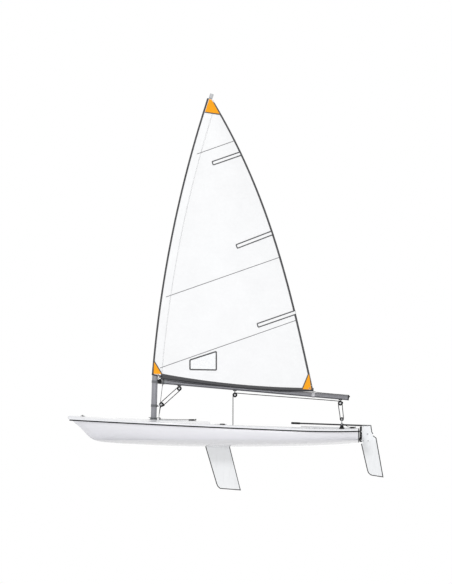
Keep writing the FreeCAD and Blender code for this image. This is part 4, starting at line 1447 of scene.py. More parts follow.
# ---- hull and deck
@dataclass
class HullDress:
    """Small parts on the hull's mouldings.

    Each row of jaws is a cleat's node, its length, and where its jaws stand: x, y and turn in degrees.
    """

    nodes: dict[str, Piece]
    mast_x: float = 1.049
    collar_screw_radius: float = 0.061
    trunk_screw_y: float = 0.037
    trunk_screw_in: float = 0.02
    eye_screw_in: float = 0.009
    gudgeon_screw_y: tuple[float, ...] = (-0.029, -0.017, 0.017, 0.029)
    wall_y: float = 0.3007
    jaws: tuple[tuple[str, float, tuple[Triple, ...]], ...] = (
        ("control_cleats", 0.084, ((0.5005, 0.036, 0), (0.5005, -0.036, 0))),
        ("mainsheet_cleat_port", 0.074, ((0.06, 0.43, 8),)),
        ("mainsheet_cleat_starboard", 0.074, ((0.06, -0.43, -8),)),
        ("traveller_cleat", 0.066, ((-1.81, 0.2, 0),)),
    )
    jaw_ends: float = 0.018
    cleat_above_base: float = 0.013
    tooth_pitch: float = 0.006
    tooth_out: float = 0.0028
    pad_x: Spot = (-1.9150, -1.9115)
    pad_half: float = 0.05
    pad_heights: Spot = (-0.030, 0.150)
    strap_thickness: float = 0.0026
    strap_route: Spots = (
        (-0.190, 0.022), (-0.212, 0.047), (-0.240, 0.071), (-0.320, 0.095), (-0.560, 0.096), (-0.800, 0.100),
    )
    strap_ends: Spots = ((-0.196, 0.0285), (-1.018, 0.1105))
    fairlead: Spots = (
        (-0.022, 0.0085), (-0.006, 0.0085), (-0.003, 0.0105), (-0.001, 0.0105), (0.001, 0.0075), (0.007, 0.0070),
        (0.011, 0.0095), (0.013, 0.0090), (0.014, 0.006),
    )

    def fastenings(self) -> list[Piece]:
        """Screws of the mast's collar, the slot's cap, the painter's eye and the rudder's gudgeons.

        Returns:
            The screws, one piece for each of the four.
        """
        x, r, inset = self.mast_x, self.collar_screw_radius, self.trunk_screw_in
        ring = [(x + r * math.cos(i * math.pi / 4), r * math.sin(i * math.pi / 4)) for i in range(8)]
        lo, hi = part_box("trunk_cap")
        columns = [lo.x + inset + i * (hi.x - lo.x - 2 * inset) / 5 for i in range(6)]
        rows = [(x, side.value * self.trunk_screw_y) for x in columns for side in Side]
        lo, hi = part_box("bow_eye")
        ends = [(lo.x + self.eye_screw_in, 0.0), (hi.x - self.eye_screw_in, 0.0)]
        upper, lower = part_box("upper_gudgeon"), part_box("lower_gudgeon")
        heights = [(lo.z + hi.z) / 2 for lo, hi in (upper, lower)]
        aft = [((upper[1].x - 0.003, y, z), (-1, 0, 0)) for z in heights for y in self.gudgeon_screw_y]
        groups = (
            ("collar", on_top(self.nodes["mast_collar"], ring), 0.0038),
            ("trunk_cap", on_top(self.nodes["trunk_cap"], rows), 0.0032),
            ("bow_eye", on_top(self.nodes["bow_eye"], ends), 0.0036),
            ("gudgeon", aft, 0.0036),
        )
        return [screws(f"{name}_screws", "hull", places, radius) for name, places, radius in groups]

    def transom_pad(self) -> Piece:
        """Thin black pad on the transom, under the gudgeons."""
        outline = mirrored([(x, -self.pad_half) for x in self.pad_x])
        return finished(slab("transom_pad", outline, *self.pad_heights, 0.0008), "hull", TRIM)

    def teeth(self) -> Piece:
        """Slanting teeth inside the jaws of every rope cleat.

        Returns:
            The teeth.
        """
        outline = [(-0.0011, -0.0016), (0.0011, -0.0016), (0.0019, 0.0016), (-0.0003, 0.0016)]
        places = []
        for node, length, stands in self.jaws:
            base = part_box(node)[1].z - self.cleat_above_base
            count = int((length - self.jaw_ends) / self.tooth_pitch)
            for x, y, angle in stands:
                stand = Matrix.Translation((x, y, base)) @ Matrix.Rotation(math.radians(angle), 4, "Z")
                for i in range(count):
                    along = (i - (count - 1) / 2) * self.tooth_pitch
                    for out, turn in ((-self.tooth_out, 0), (self.tooth_out, math.pi)):
                        places.append(stand @ Matrix.Translation((along, out, 0)) @ Matrix.Rotation(turn, 4, "Z"))
        rib = slab("rib", outline, 0.004, 0.0122, 0.0003)
        return finished(copies(rib, "cleat_teeth", places), "hull", BLACK, smooth=25)

    def rails(self) -> Piece:
        """Round flanges where the grab rails meet the cockpit's walls.

        Returns:
            The flanges.
        """
        lo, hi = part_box("grab_rail_port")
        z, ends = (lo.z + hi.z) / 2, (lo.x + 0.009, hi.x - 0.009)
        profile = [(-0.002, 0.017), (0.0015, 0.017), (0.003, 0.0155), (0.0036, 0.011), (0.007, 0.0098)]
        walls = [(side.value * self.wall_y, (0, -side.value, 0)) for side in Side]
        places = [facing((x, y, z), inwards) for x in ends for y, inwards in walls]
        return finished(copies(turned("flange", profile, 28), "rail_flanges", places), "hull", BLACK)

    def stand_eyes(self) -> Piece:
        """Round fairleads on the traveller's stands.

        Returns:
            The fairleads.
        """
        lo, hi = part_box("traveller_stand_port")
        x, y = (lo.x + hi.x) / 2, (lo.y + hi.y) / 2
        post = turned("post", [(hi.z + up, radius) for up, radius in self.fairlead], 24)
        places = [Matrix.Translation((x, side.value * y, 0)) for side in Side]
        return finished(copies(post, "traveller_fairleads", places), "hull", STEEL)

    def strap(self) -> list[Piece]:
        """Webbing hiking strap with its end plates and their screws.

        Returns:
            The strap, the plates and the screws.
        """
        lo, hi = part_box("hiking_strap")
        width = hi.y - lo.y
        line = SHEET_ROPE.centreline(in_plane([*self.strap_route, (lo.x + 0.010, 0.106), (lo.x, 0.106)]))
        length = run_length(line)

        def place(along: float, across: float) -> Vector:
            """Point of the webbing, a little crowned across, by its shares along and across."""
            bow = 0.0012 * math.cos(math.pi * (across - 0.5) * 2)
            return line[round(along * (len(line) - 1))] + Vector((0, (across - 0.5) * (width - 0.001), bow - 0.0006))

        band = draped("hiking_strap_webbing", len(line) - 1, 10, place, (length, width))
        finished(walled(band, self.strap_thickness), "hull", WEBBING, replaces=["hiking_strap"])
        ends = self.strap_ends
        plates = [plate(x, (0.008, 0.024), (0.004, 0.004), z - 0.001, z + 0.0012, 0.0006) for x, z in ends]
        heads = [((x, y, z + 0.0012), UP) for x, z in ends for y in (-0.014, 0.014)]
        metal = finished(joined("strap_end_plates", plates), "hull", STEEL)
        return [band, metal, screws("strap_screws", "hull", heads, 0.0036)]

    def build(self) -> list[Piece]:
        """All the small parts of the hull."""
        small = [*self.fastenings(), self.transom_pad(), self.teeth(), self.rails(), self.stand_eyes()]
        return [*small, *self.strap()]


@dataclass
class RudderDress:
    """Grip and bolts of the rudder."""

    tip: Spot = (-0.932, 0.244)
    end: Spot = (-2.040, 0.2058)
    grip_length: float = 0.128
    ribs: int = 15
    rib: Spots = ((0, 0.0142), (0.25, 0.0155), (0.65, 0.0155), (0.9, 0.0142))
    cheek_y: float = 0.018
    bolt_radius: float = 0.0062
    bolt_places: Spots = (
        (-1.972, 0.203), (-2.030, 0.203), (-2.072, 0.203), (-1.968, -0.012), (-2.040, -0.012),
    )

    def grip(self) -> Piece:
        """Ribbed rubber grip on the tiller's front end.

        Returns:
            The grip.
        """
        length, pitch = self.grip_length, (self.grip_length - 0.022) / self.ribs
        stations = [(-0.0005, 0.0125), (0.0015, 0.0150), (0.006, 0.0158), (0.011, 0.0150)]
        stations += [(0.012 + (i + share) * pitch, radius) for i in range(self.ribs) for share, radius in self.rib]
        stations += [(length - 0.006, 0.0158), (length - 0.001, 0.0150), (length, 0.0122)]
        heading = Vector((self.end[0] - self.tip[0], 0, self.end[1] - self.tip[1])).normalized()
        piece = moved(turned("tiller_ribbed_grip", stations), facing((self.tip[0], 0, self.tip[1]), heading))
        return finished(piece, "rudder", RUBBER, smooth=50, replaces=["tiller_grip"])

    def bolts(self) -> Piece:
        """Hexagon bolts that hold the head's two cheeks together.

        Returns:
            The bolts.
        """
        r = self.bolt_radius
        profile = [(-0.001, 0.0085), (0.0008, 0.0085), (0.0010, r), (0.0045, r), (0.0055, 0.85 * r), (0.0055, 0.3 * r)]
        sides = [(side.value * self.cheek_y, (0, side.value, 0)) for side in Side]
        places = [facing((x, y, z), outwards) for x, z in self.bolt_places for y, outwards in sides]
        return finished(copies(turned("bolt", profile, 6), "rudder_head_bolts", places), "rudder", STEEL, smooth=20)

    def build(self) -> list[Piece]:
        """The rudder's small parts."""
        return [self.grip(), self.bolts()]


# ---- spars and sail
@dataclass
class SparDress:
    """Cap, rivets and rings on the spars."""

    cap_radius: float = 0.0275
    cap_from_lean: float = 18.145
    rivet_rings: Spots = ((0.880, 0.037), (-1.7545, 0.0366))
    ring_centre: Spot = (0.960, 0.888)
    ring_radius: float = 0.015
    ring_route: Spots = ((0, 1), (0.8, 1), (1.08, 0), (0.8, -1), (-0.8, -1), (-1.08, 0), (-0.8, 1), (0, 1))
    jaw_half: float = 0.014
    jaw_outline: Spots = (
        (0.932, 0.812), (0.940, 0.805), (0.990, 0.812), (0.992, 0.868), (0.940, 0.880), (0.932, 0.873),
    )

    def head_cap(self) -> Piece:
        """Pale cap on the mast's tip.

        Returns:
            The cap.
        """
        foot, heading = SAIL.arc(self.cap_from_lean)
        top = (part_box("mast_top_plug")[1].z - foot.z) / heading.z - 0.008
        profile = [
            (0, 0.9), (0.002, 1), (0.010, 1), (0.011, 0.93), (0.013, 0.93), (0.014, 1), (top - 0.006, 1),
            (top - 0.002, 0.93), (top, 0.8), (top, 0.3), (top - 0.002, 0.26),
        ]
        piece = turned("mast_head_cap", scaled(profile, 1, self.cap_radius), 40)
        return finished(moved(piece, facing(foot, heading)), "rig", HEAD_CAP, replaces=["mast_top_plug"])

    def rivets(self) -> Piece:
        """Rivets round both ends of the boom.

        Returns:
            The rivets.
        """
        along = BOOM.direction()
        up = Vector((-along.z, 0, along.x))
        places = []
        for x, radius in self.rivet_rings:
            for angle in (45, 135, 225, 315):
                out = Vector((0, math.cos(math.radians(angle)), 0)) + up * math.sin(math.radians(angle))
                places.append((Vector((x, 0, BOOM.z(x))) + out * radius, out))
        return screws("boom_rivets", "rig", places, 0.0038)

    def tack_ring(self) -> Piece:
        """Black ring between the sail's tack and the boom.

        Returns:
            The ring.
        """
        (x, z), r = self.ring_centre, self.ring_radius
        route = in_plane((x + a * r, z + b * r) for a, b in self.ring_route)
        return finished(Rope(0.0052, 12, strands=0).lay_along("tack_ring", route), "rig", BLACK)

    def jaw(self) -> Piece:
        """Black gooseneck body between the mast's band and the boom's front end."""
        body = slab("gooseneck_body", self.jaw_outline, -self.jaw_half, self.jaw_half, 0.003)
        return finished(moved(body, Matrix.Rotation(math.pi / 2, 4, "X")), "rig", BLACK)

    def build(self) -> list[Piece]:
        """The spars' small parts."""
        return [self.head_cap(), self.rivets(), self.tack_ring(), self.jaw()]


@dataclass
class SailDress:
    """Sail, sleeve, window, and everything sewn on them."""

    shape: SailShape = SAIL
    seams: tuple[tuple[Spot, Spot], ...] = (
        ((0.425, 4.118), (-0.108, 4.306)), ((0.871, 2.059), (-0.756, 2.628)), ((0.958, 1.037), (-1.015, 1.728)),
    )
    battens: tuple[tuple[Spot, Spot, float], ...] = (
        ((0.199, 3.984), (-0.202, 4.123), 0.050),
        ((-0.147, 2.786), (-0.655, 2.981), 0.054),
        ((-0.449, 1.649), (-1.001, 1.840), 0.054),
    )
    window: Spots = ((0.526, 1.152), (0.147, 1.274), (0.147, 1.008), (0.526, 1.015))
    window_spare: float = 0.05
    head_patch: Spots = ((0.311, 4.720), (0.097, 4.688), (0.212, 4.898), (0.248, 4.911))
    tack_patch: Spots = ((1.049, 0.950), (0.929, 0.950), (1.034, 1.132), (1.042, 1.138))
    clew_patch: Spots = ((-1.222, 0.725), (-1.090, 0.733), (-1.184, 0.963), (-1.186, 0.967))
    eyes: Spots = ((-1.196, 0.742), (0.985, 0.934))
    eye: Spots = ((0, 0.0135), (0.0032, 0.0135), (0.0044, 0.0118), (0.0044, 0.0090), (0.0028, 0.0076))
    seam_width: float = 0.009
    line_width: float = 0.015
    border_width: float = 0.019
    patch_border_width: float = 0.014
    edge_width: float = 0.030
    foot_width: float = 0.050
    hem_width: float = 0.014
    foot_start: float = 0.085
    luff_wrap: float = 64.0
    sleeve_hem: float = 0.020
    thin: float = 0.0012
    tape: float = 0.0014
    thick: float = 0.0022
    bold: float = 0.0034
    step: float = 0.022

    def sewn_piece(self, corners: Sequence[Point], thick: float, side: Side, crown: float = 0.0) -> Piece:
        """Piece of cloth sewn on one side, over a four-cornered place.

        Args:
            corners: Corners (x, z): first edge's two ends, then the far edge's, in order round.
            thick: Its thickness.
            side: Side of the sail.
            crown: Extra height along its middle.

        Returns:
            The cloth.
        """
        a, b, c, d = (Vector(corner) for corner in corners)
        columns = max(3, round(max((b - a).length, (c - d).length) / self.step))
        rows = max(6 if crown else 2, round(max((d - a).length, (c - b).length) / self.step))

        def place(u: float, v: float) -> Vector:
            """Point of the sewn cloth, by its shares along the first edge and towards the far one."""
            bulge = crown * math.sin(math.pi * v) * min(1.0, 8 * u, 8 * (1 - u))
            return lifted(self.shape.find(*a.lerp(b, u).lerp(d.lerp(c, u), v), side), thick / 2 + bulge)

        return walled(draped("cloth", columns, rows, place), thick)

    def line(self, a: Point, b: Point, width: float, thick: float, side: Side) -> Piece:
        """Narrow strip between two places on one side of the sail."""
        return self.sewn_piece(self.ring(a, b, width), thick, side)

    def ring(self, a: Point, b: Point, width: float) -> list[Vector]:
        """Corners, in order round, of a strip between two places (x, z)."""
        across = (Vector(b) - Vector(a)).normalized().orthogonal() * (width / 2)
        return [Vector(a) - across, Vector(b) - across, Vector(b) + across, Vector(a) + across]

    def border(self, corners: Sequence[Point], width: float, thick: float, side: Side) -> list[Piece]:
        """Strips round a closed ring of corners."""
        return [self.line(a, b, width, thick, side) for a, b in zip(corners, (*corners[1:], corners[0]))]

    def ribbon(self, place: Place, columns: int, rows: int, thick: float) -> Piece:
        """Strip whose place is given for two shares."""
        return walled(draped("ribbon", columns, rows, place), thick)

    def fabric(self) -> tuple[Piece, Piece, float]:
        """Sail from the sleeve to the leech, and the clear film in its window.

        Returns:
            The cloth, the film, and the area of the cloth's one layer in square metres.
        """
        shape, window = self.shape, self.window

        def place(u: float, v: float) -> Vector:
            """Point of the cloth, by its shares aft and up."""
            across = 1 - (1 - u) * (1 - shape.cloth_start(v))
            return shape.fabric(v + (1 - v) * shape.foot_share(across), across)

        cloth = draped("sail_cloth", 84, 168, place)
        edit(cloth, everything=False)
        xs, zs = zip(*window)
        west, east = min(xs) - self.window_spare, max(xs) + self.window_spare
        low, high = min(zs) - self.window_spare, max(zs) + self.window_spare
        edges = list(zip(window, (*window[1:], window[0])))

        def near(face: Face) -> bool:
            """Whether a face is close to the window."""
            centre = face.calc_center_median()
            return west < centre.x < east and low < centre.z < high

        def inside(face: Face) -> bool:
            """Whether a face is within the window, on the inner side of each of its edges."""
            centre = face.calc_center_median()
            return all((centre.x - a[0]) * (b[1] - a[1]) < (centre.z - a[1]) * (b[0] - a[0]) for a, b in edges)

        for (x0, z0), (x1, z1) in edges:
            choose_faces(cloth, near)
            bpy.ops.mesh.bisect(plane_co=(x0, 0, z0), plane_no=(z1 - z0, 0, x0 - x1))
        choose_faces(cloth, inside)
        bpy.ops.mesh.separate(type="SELECTED")
        bpy.ops.object.mode_set(mode="OBJECT")
        film = next(piece for piece in bpy.context.selected_objects if piece != cloth)
        film.name = "window_clear_film"
        area = layer_area(mapped(cloth))
        finished(walled(cloth, shape.cloth), "rig", WHITE_CLOTH, replaces=["sail"])
        finished(walled(mapped(film), shape.cloth * 0.5), "rig", CLEAR_FILM)
        return cloth, film, area

    def round_sleeve(self, share: float, around: float) -> Ray:
        """Outer surface of the sleeve.

        Args:
            share: Share of the sail's height.
            around: Share of the way round, from the port edge over the mast's front to the starboard edge.

        Returns:
            The point, and the direction outwards there.
        """
        shape = self.shape
        radius, tail = shape.sleeve_radius, shape.tail(share)
        side = Side.PORT if around < 0.5 else Side.STARBOARD
        arc = radius * (math.pi - math.acos(min(1.0, radius / tail)))
        straight = math.sqrt(max(tail * tail - radius * radius, 1e-9))
        run = abs(around - 0.5) * 2 * (arc + straight)
        touch = radius * radius / tail
        behind = -radius * math.cos(run / radius) if run < arc else touch + (run - arc) / straight * (tail - touch)
        return shape.skin(share, min(behind, tail - 1e-6), side)

    def sleeve(self) -> tuple[Piece, Spot, float]:
        """Sleeve round the mast, drawn to the sail behind it.

        Returns:
            The sleeve, the width and length of its flat cut, and the area of its one layer.
        """
        foot, rows, columns = self.shape.sleeve_foot, 150, 44

        def place(up: float, around: float) -> Vector:
            """Point of the sleeve, by its shares up and around."""
            return self.round_sleeve(foot + up * (1 - foot), around)[0]

        girths = [run_length([place(up, i / columns) for i in range(columns + 1)]) for up in (0.0, 0.25, 0.5)]
        lengths = [run_length([place(i / rows, around) for i in range(rows + 1)]) for around in (0.0, 0.5)]
        flat = (max(girths), max(lengths))
        cloth = draped("sleeve_cloth", rows, columns, place, (flat[1], flat[0]))
        area = layer_area(cloth)
        finished(walled(cloth, self.shape.cloth, 1e-6), "rig", SLEEVE_CLOTH, replaces=["luff_sleeve"])
        return cloth, flat, area

    def luff(self, up: float, around: float) -> Vector:
        """Point of the luff's tape, over the mast's front.

        Args:
            up: Share of the way up the sleeve.
            around: Share of the way round the front, from starboard to port.

        Returns:
            The point.
        """
        shape = self.shape
        share = shape.sleeve_foot + up * (1 - shape.sleeve_foot)
        angle = (around * 2 - 1) * math.radians(self.luff_wrap) + shape.sleeve_turn(share)
        side = Side.PORT if angle > 0 else Side.STARBOARD
        return lifted(shape.skin(share, -shape.sleeve_radius * math.cos(angle), side), 0.0009)

    def collar(self, around: float, up: float) -> Vector:
        """Point of the hem round the sleeve's foot, by its shares around and up."""
        share = self.shape.sleeve_foot + (up * self.sleeve_hem - 0.001) / self.shape.height
        return lifted(self.round_sleeve(share, around), 0.0014)

    def leech(self, up: float, across: float, side: Side) -> Vector:
        """Point of the leech's tape.

        Args:
            up: Share of the way up.
            across: Share of the tape's width.
            side: Side of the sail.

        Returns:
            The point.
        """
        share = 0.002 + up * 0.990
        behind = self.shape.chord(share) - self.edge_width * (1 - across)
        return lifted(self.shape.skin(share, max(behind, self.shape.sleeve_radius * 0.6), side), 0.0006)

    def foot(self, along: float, up: float, width: float, hung: float, lift: float, side: Side) -> Vector:
        """Point of a strip along the foot.

        Args:
            along: Share of the way aft.
            up: Share of its width.
            width: Its width.
            hung: Share of the tack's hang that widens it.
            lift: Its height over the cloth.
            side: Side of the sail.

        Returns:
            The point.
        """
        shape, chord = self.shape, self.shape.chord(0.0)
        behind = self.foot_start + along * (chord - self.foot_start)
        across = behind / chord
        share = shape.foot_share(across) + up * (width + hung * shape.hang(across)) / shape.height
        return lifted(shape.skin(share, behind, side), lift)

    def edge_tapes(self) -> list[Piece]:
        """Grey tapes along the luff, leech and foot, and the dark hems at the foot.

        Returns:
            The tapes, and the hems.
        """
        parts = [self.ribbon(self.luff, 150, 12, self.thin)]
        hems = [self.ribbon(self.collar, 60, 2, self.thick)]
        for side in Side:
            foot = partial(self.foot, width=self.foot_width, hung=1.0, lift=0.0006, side=side)
            hem = partial(self.foot, width=self.hem_width, hung=0.0, lift=0.0016, side=side)
            parts.append(self.ribbon(partial(self.leech, side=side), 190, 2, self.tape))
            parts.append(self.ribbon(foot, 130, 3, self.tape))
            hems.append(self.ribbon(hem, 130, 2, self.thick))
        tapes = finished(joined("sail_edge_tapes", parts), "rig", GREY_TAPE)
        return [tapes, finished(joined("sail_foot_hem", hems), "rig", DARK_TAPE)]

    def sewn(self) -> list[Piece]:
        """Seams, batten pockets, window border and orange corners, on both sides.

        Returns:
            The pieces.
        """
        head, tack, clew = self.head_patch, self.tack_patch, self.clew_patch
        seams, pockets, outlines, corners, borders = [], [], [], [], []
        for side in Side:
            seams += [self.line(a, b, self.seam_width, self.thin, side) for a, b in self.seams]
            for a, b, width in self.battens:
                ring = self.ring(a, b, width)
                pockets.append(self.sewn_piece(ring, self.thin, side, crown=0.0026))
                outlines += self.border(ring, self.line_width, self.bold, side)
            borders += self.border(self.window, self.border_width, self.thick, side)
            corners += [self.sewn_piece(ring, 0.0020, side) for ring in (head, tack, clew)]
            ends = ((head[0], head[1]), (tack[3], tack[1]), (clew[3], clew[1]))
            borders += [self.line(a, b, self.patch_border_width, self.bold, side) for a, b in ends]
        rows = (
            ("sail_seams", seams, SEAM_CLOTH), ("batten_pockets", pockets, WHITE_CLOTH),
            ("batten_pocket_edges", outlines, GREY_TAPE), ("corner_patches", corners, ORANGE_CLOTH),
            ("window_and_patch_edges", borders, GREY_TAPE),
        )
        return [finished(joined(name, parts), "rig", finish) for name, parts, finish in rows]

    def grommets(self) -> Piece:
        """Steel eyes in the clew and the tack.

        Returns:
            The eyes.
        """
        parts = []
        for x, z in self.eyes:
            for side in Side:
                place = self.shape.find(x, z, side)
                parts.append(lathed(self.eye, *place, STEEL, 28))
                parts.append(lathed([(0.0006, 0.0078), (0.0030, 0.0075)], *place, TRIM, 24))
        return finished(joined("sail_grommets", parts), "rig", STEEL)

    def build(self) -> list[Piece]:
        """The whole sail, logging the foot, leech and area of its cloth and the flat size of its sleeve.

        Returns:
            The pieces.
        """
        shape = self.shape
        cloth, film, area = self.fabric()
        sleeve, sleeve_flat, sleeve_area = self.sleeve()
        extras = [film, *self.edge_tapes(), *self.sewn(), self.grommets()]
        steps = [i / 60 for i in range(61)]
        foot = run_length([shape.fabric(shape.foot_share(across), across) for across in steps])
        leech = run_length([shape.fabric(share, 1.0) for share in steps])
        LOG.info("sail: foot %.3f m, leech %.3f m, cloth %.3f m2", foot, leech, area)
        LOG.info("sleeve: %.3f by %.3f m, %.3f m2", *sleeve_flat, sleeve_area)
        return [cloth, sleeve, *extras]


# ---- ropes
@dataclass
class Tackle:
    """Every line of the boat, drawn tight between its fittings."""

    nodes: dict[str, Piece]
    sheave: float = 0.0275
    small_sheave: float = 0.0235
    jaw_depth: float = 0.0065
    mid: Spot = (-0.121, 0.649)
    aft: Spot = (-1.639, 0.530)
    cockpit: Spot = (-0.120, 0.092)
    traveller: Spot = (-1.660, 0.300)
    vang_mast: Spot = (0.937, 0.510)
    vang_boom: Spot = (0.680, 0.742)
    base: Spot = (0.959, 0.311)
    tie_radius: float = 0.0415

    def knot(self, at: Point, rope: Rope) -> Piece:
        """Stopper knot: the line turned twice round itself.

        Args:
            at: Its middle.
            rope: The line.

        Returns:
            The knot.
        """
        x, y, z = at
        r = rope.radius * 1.5
        turns = [(1, 0), (0.7, 1), (-0.7, 1), (-1, 0), (-0.7, -1), (0.7, -1)] * 2
        coil = [(x + a * r, y + b * r, z + (i - 6) * 0.32 * rope.radius) for i, (a, b) in enumerate(turns)]
        return Rope(rope.radius, 10, step=0.003).lay_along("knot", [(x, y, z - 1.6 * r), *coil, (x, y, z + 1.8 * r)])

    def tied(
        self, name: str, body: str, rope: Rope, routes: Sequence[Sequence[Point]], knots: Sequence[Point] = ()
    ) -> Piece:
        """Lines with their stopper knots, as one piece."""
        parts = [self.knot(at, rope) for at in knots] + [rope.lay_along("line", route) for route in routes]
        return finished(joined(name, parts), body, ROPE)

    def mainsheet(self) -> list[Piece]:
        """Fall from the cockpit, run along the boom, and the double fall at its end.

        Returns:
            The three pieces.
        """
        r, t = self.sheave, self.small_sheave
        (cx, cz), (mx, mz), (ax, az), (tx, tz) = self.cockpit, self.mid, self.aft, self.traveller
        fall_route = in_plane([
            (cx - r, cz + 0.018), (cx - r, cz - r), (cx + r, cz - r), (cx + r, cz + 0.06), (mx + r, mz - 0.06),
            (mx + r, mz + r), (mx, mz + r),
        ])
        boom_route = in_plane([
            (mx + 0.004, mz + r), (mx - 0.030, mz + r - 0.001), (mx - 0.10, mz + r - 0.009),
            (ax + 0.12, az + r + 0.012), (ax + 0.03, az + r + 0.002), (ax - 0.004, az + r),
        ])
        double_route = in_plane([
            (ax, az + r), (ax + r, az + r), (ax + r, az - 0.04), (tx + t, tz + 0.04), (tx + t, tz - t),
            (tx - t, tz - t), (tx - t, tz + 0.04), (ax - r, az - 0.04), (ax - r, az),
        ])
        fall = self.tied("mainsheet_fall", "", SHEET_ROPE, [fall_route], [(cx - r, 0, cz + 0.020)])
        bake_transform(fall)
        along = self.tied("mainsheet_along_boom", "rig", SHEET_ROPE, [boom_route])
        double = self.tied("mainsheet_double_fall", "", SHEET_ROPE, [double_route], [(ax - r, 0, az + 0.004)])
        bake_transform(double)
        return [fall, along, double]

    def traveller_rope(self) -> Piece:
        """Rope across the aft deck, over the tiller, with its tail in the cleat.

        Returns:
            The rope.
        """
        x, z = self.traveller
        lo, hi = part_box("traveller_stand_port")
        y, top = (lo.y + hi.y) / 2, hi.z
        aft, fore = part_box("traveller_cleat")
        jaw = fore.z - self.jaw_depth
        over_deck = surface_height(self.nodes["deck"], x - 0.10, y - 0.16) + 0.016
        upper = [
            (x, -y, top + 0.006), (x, -y / 2, top + 0.015), (x, -0.02, z - 0.036), (x, 0.02, z - 0.036),
            (x, y / 2, top + 0.015), (x, y, top + 0.006),
        ]
        lower = [
            (x + 0.008, -y, top + 0.003), (x + 0.008, -y / 2, top + 0.008), (x + 0.008, y / 2, top + 0.008),
            (x + 0.002, y - 0.01, top + 0.004), (x - 0.012, y, top + 0.003), (x - 0.035, y - 0.05, top - 0.015),
            (x - 0.10, y - 0.16, over_deck), (fore.x + 0.012, 0.206, jaw + 0.002), (fore.x - 0.010, 0.2, jaw),
            (aft.x + 0.010, 0.2, jaw), (aft.x - 0.006, 0.2, jaw),
        ]
        knots = [(x, -y, top + 0.010), (x, y, top + 0.010), (aft.x - 0.010, 0.2, jaw)]
        return self.tied("traveller_rope", "hull", CONTROL_ROPE, [upper, lower], knots)

    def vang(self) -> Piece:
        """Tackle that holds the boom down.

        Returns:
            The line.
        """
        m, b = Vector(self.vang_mast), Vector(self.vang_boom)
        run = (b - m).normalized()
        out, reach = Vector((-run.y, run.x)) * self.sheave, run * self.sheave
        route = in_plane([
            m + out + run * 0.020, m + out + run * 0.06, b + out - run * 0.04, b + out + reach, b - out + reach,
            b - out - run * 0.04, m - out + run * 0.04, m - out - reach, m + out * 0.5 - reach,
            m + out * 0.6 - reach * 1.3,
        ])
        return self.tied("vang_line", "rig", SHEET_ROPE, [route], route[:1])

    def controls(self) -> Piece:
        """Two control lines down behind the mast and aft along the foredeck to their cleats.

        Returns:
            The lines.
        """
        x, z = self.base
        aft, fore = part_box("control_cleats")
        jaw = fore.z - self.jaw_depth
        routes, knots = [], []
        for side, (top_x, top_z) in ((-1, (0.922, 0.792)), (1, (0.952, 0.466))):
            y, end, tie = side * 0.028, side * 0.036, side * 0.012
            climb = [(top_x, tie, top_z), (top_x + 0.004, side * 0.020, top_z - 0.04)]
            if side < 0:
                climb += [(0.948, y, 0.575), (0.955, y, 0.52), (0.961, y, 0.45)]
            spots = ((0.90, (y * 2 + end) / 3), (0.72, (y + end) / 2))
            over_deck = [(at, across, surface_height(self.nodes["deck"], at, y) + 0.0075) for at, across in spots]
            routes.append([
                *climb, (0.972, y, z + 0.05), (x + 0.0125, y, z + 0.012), (x + 0.0125, y, z - 0.0105),
                (x - 0.004, y, z - 0.0105), *over_deck, (fore.x + 0.03, end, jaw + 0.002),
                (fore.x - 0.006, end, jaw), (aft.x + 0.006, end, jaw), (aft.x - 0.010, end, jaw),
            ])
            knots += [(aft.x - 0.012, end, jaw), (top_x, tie, top_z)]
        lines = self.tied("control_lines", "", CONTROL_ROPE, routes, knots)
        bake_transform(lines)
        return lines

    def outhaul(self) -> Piece:
        """Line from the clew along the boom's top to its end.

        Returns:
            The line.
        """
        off = BOOM.radius + 0.0042
        rows = (
            (-1.262, -1.262, 0.012), (-1.300, -1.300, 0), (-1.55, -1.55, 0), (-1.735, -1.735, 0.001),
            (-1.760, -1.760, 0.001), (-1.7685, -1.762, -0.006), (-1.7685, -1.762, -0.018), (-1.770, -1.764, -0.020),
        )
        *run, end = in_plane((x, BOOM.z(over, off + more)) for x, over, more in rows)
        route = [(-1.222, 0, 0.716), (-1.240, 0, 0.714), *run]
        return self.tied("outhaul_line", "rig", CONTROL_ROPE, [route], [end])

    def ties(self) -> Piece:
        """Two turns of line round the boom's front end, and the tie up to the tack.

        Returns:
            The lines.
        """
        r, corners = self.tie_radius, ((1, 0), (1, 1), (-1, 1), (-1, -1), (1, -1), (1, 0))
        loops = [[(x, a * r, BOOM.z(x) + b * r) for a, b in corners] for x in (0.924, 0.904)]
        tie = [(0.914, 0.006, 0.884), (0.930, 0.006, 0.893), (0.950, 0.004, 0.902), (0.965, 0.002, 0.915)]
        return self.tied("tack_ties", "rig", CONTROL_ROPE, [*loops, [*tie, (0.983, 0.010, 0.928)]])

    def build(self) -> list[Piece]:
        """All the lines."""
        return [*self.mainsheet(), self.traveller_rope(), self.vang(), self.controls(), self.outhaul(), self.ties()]


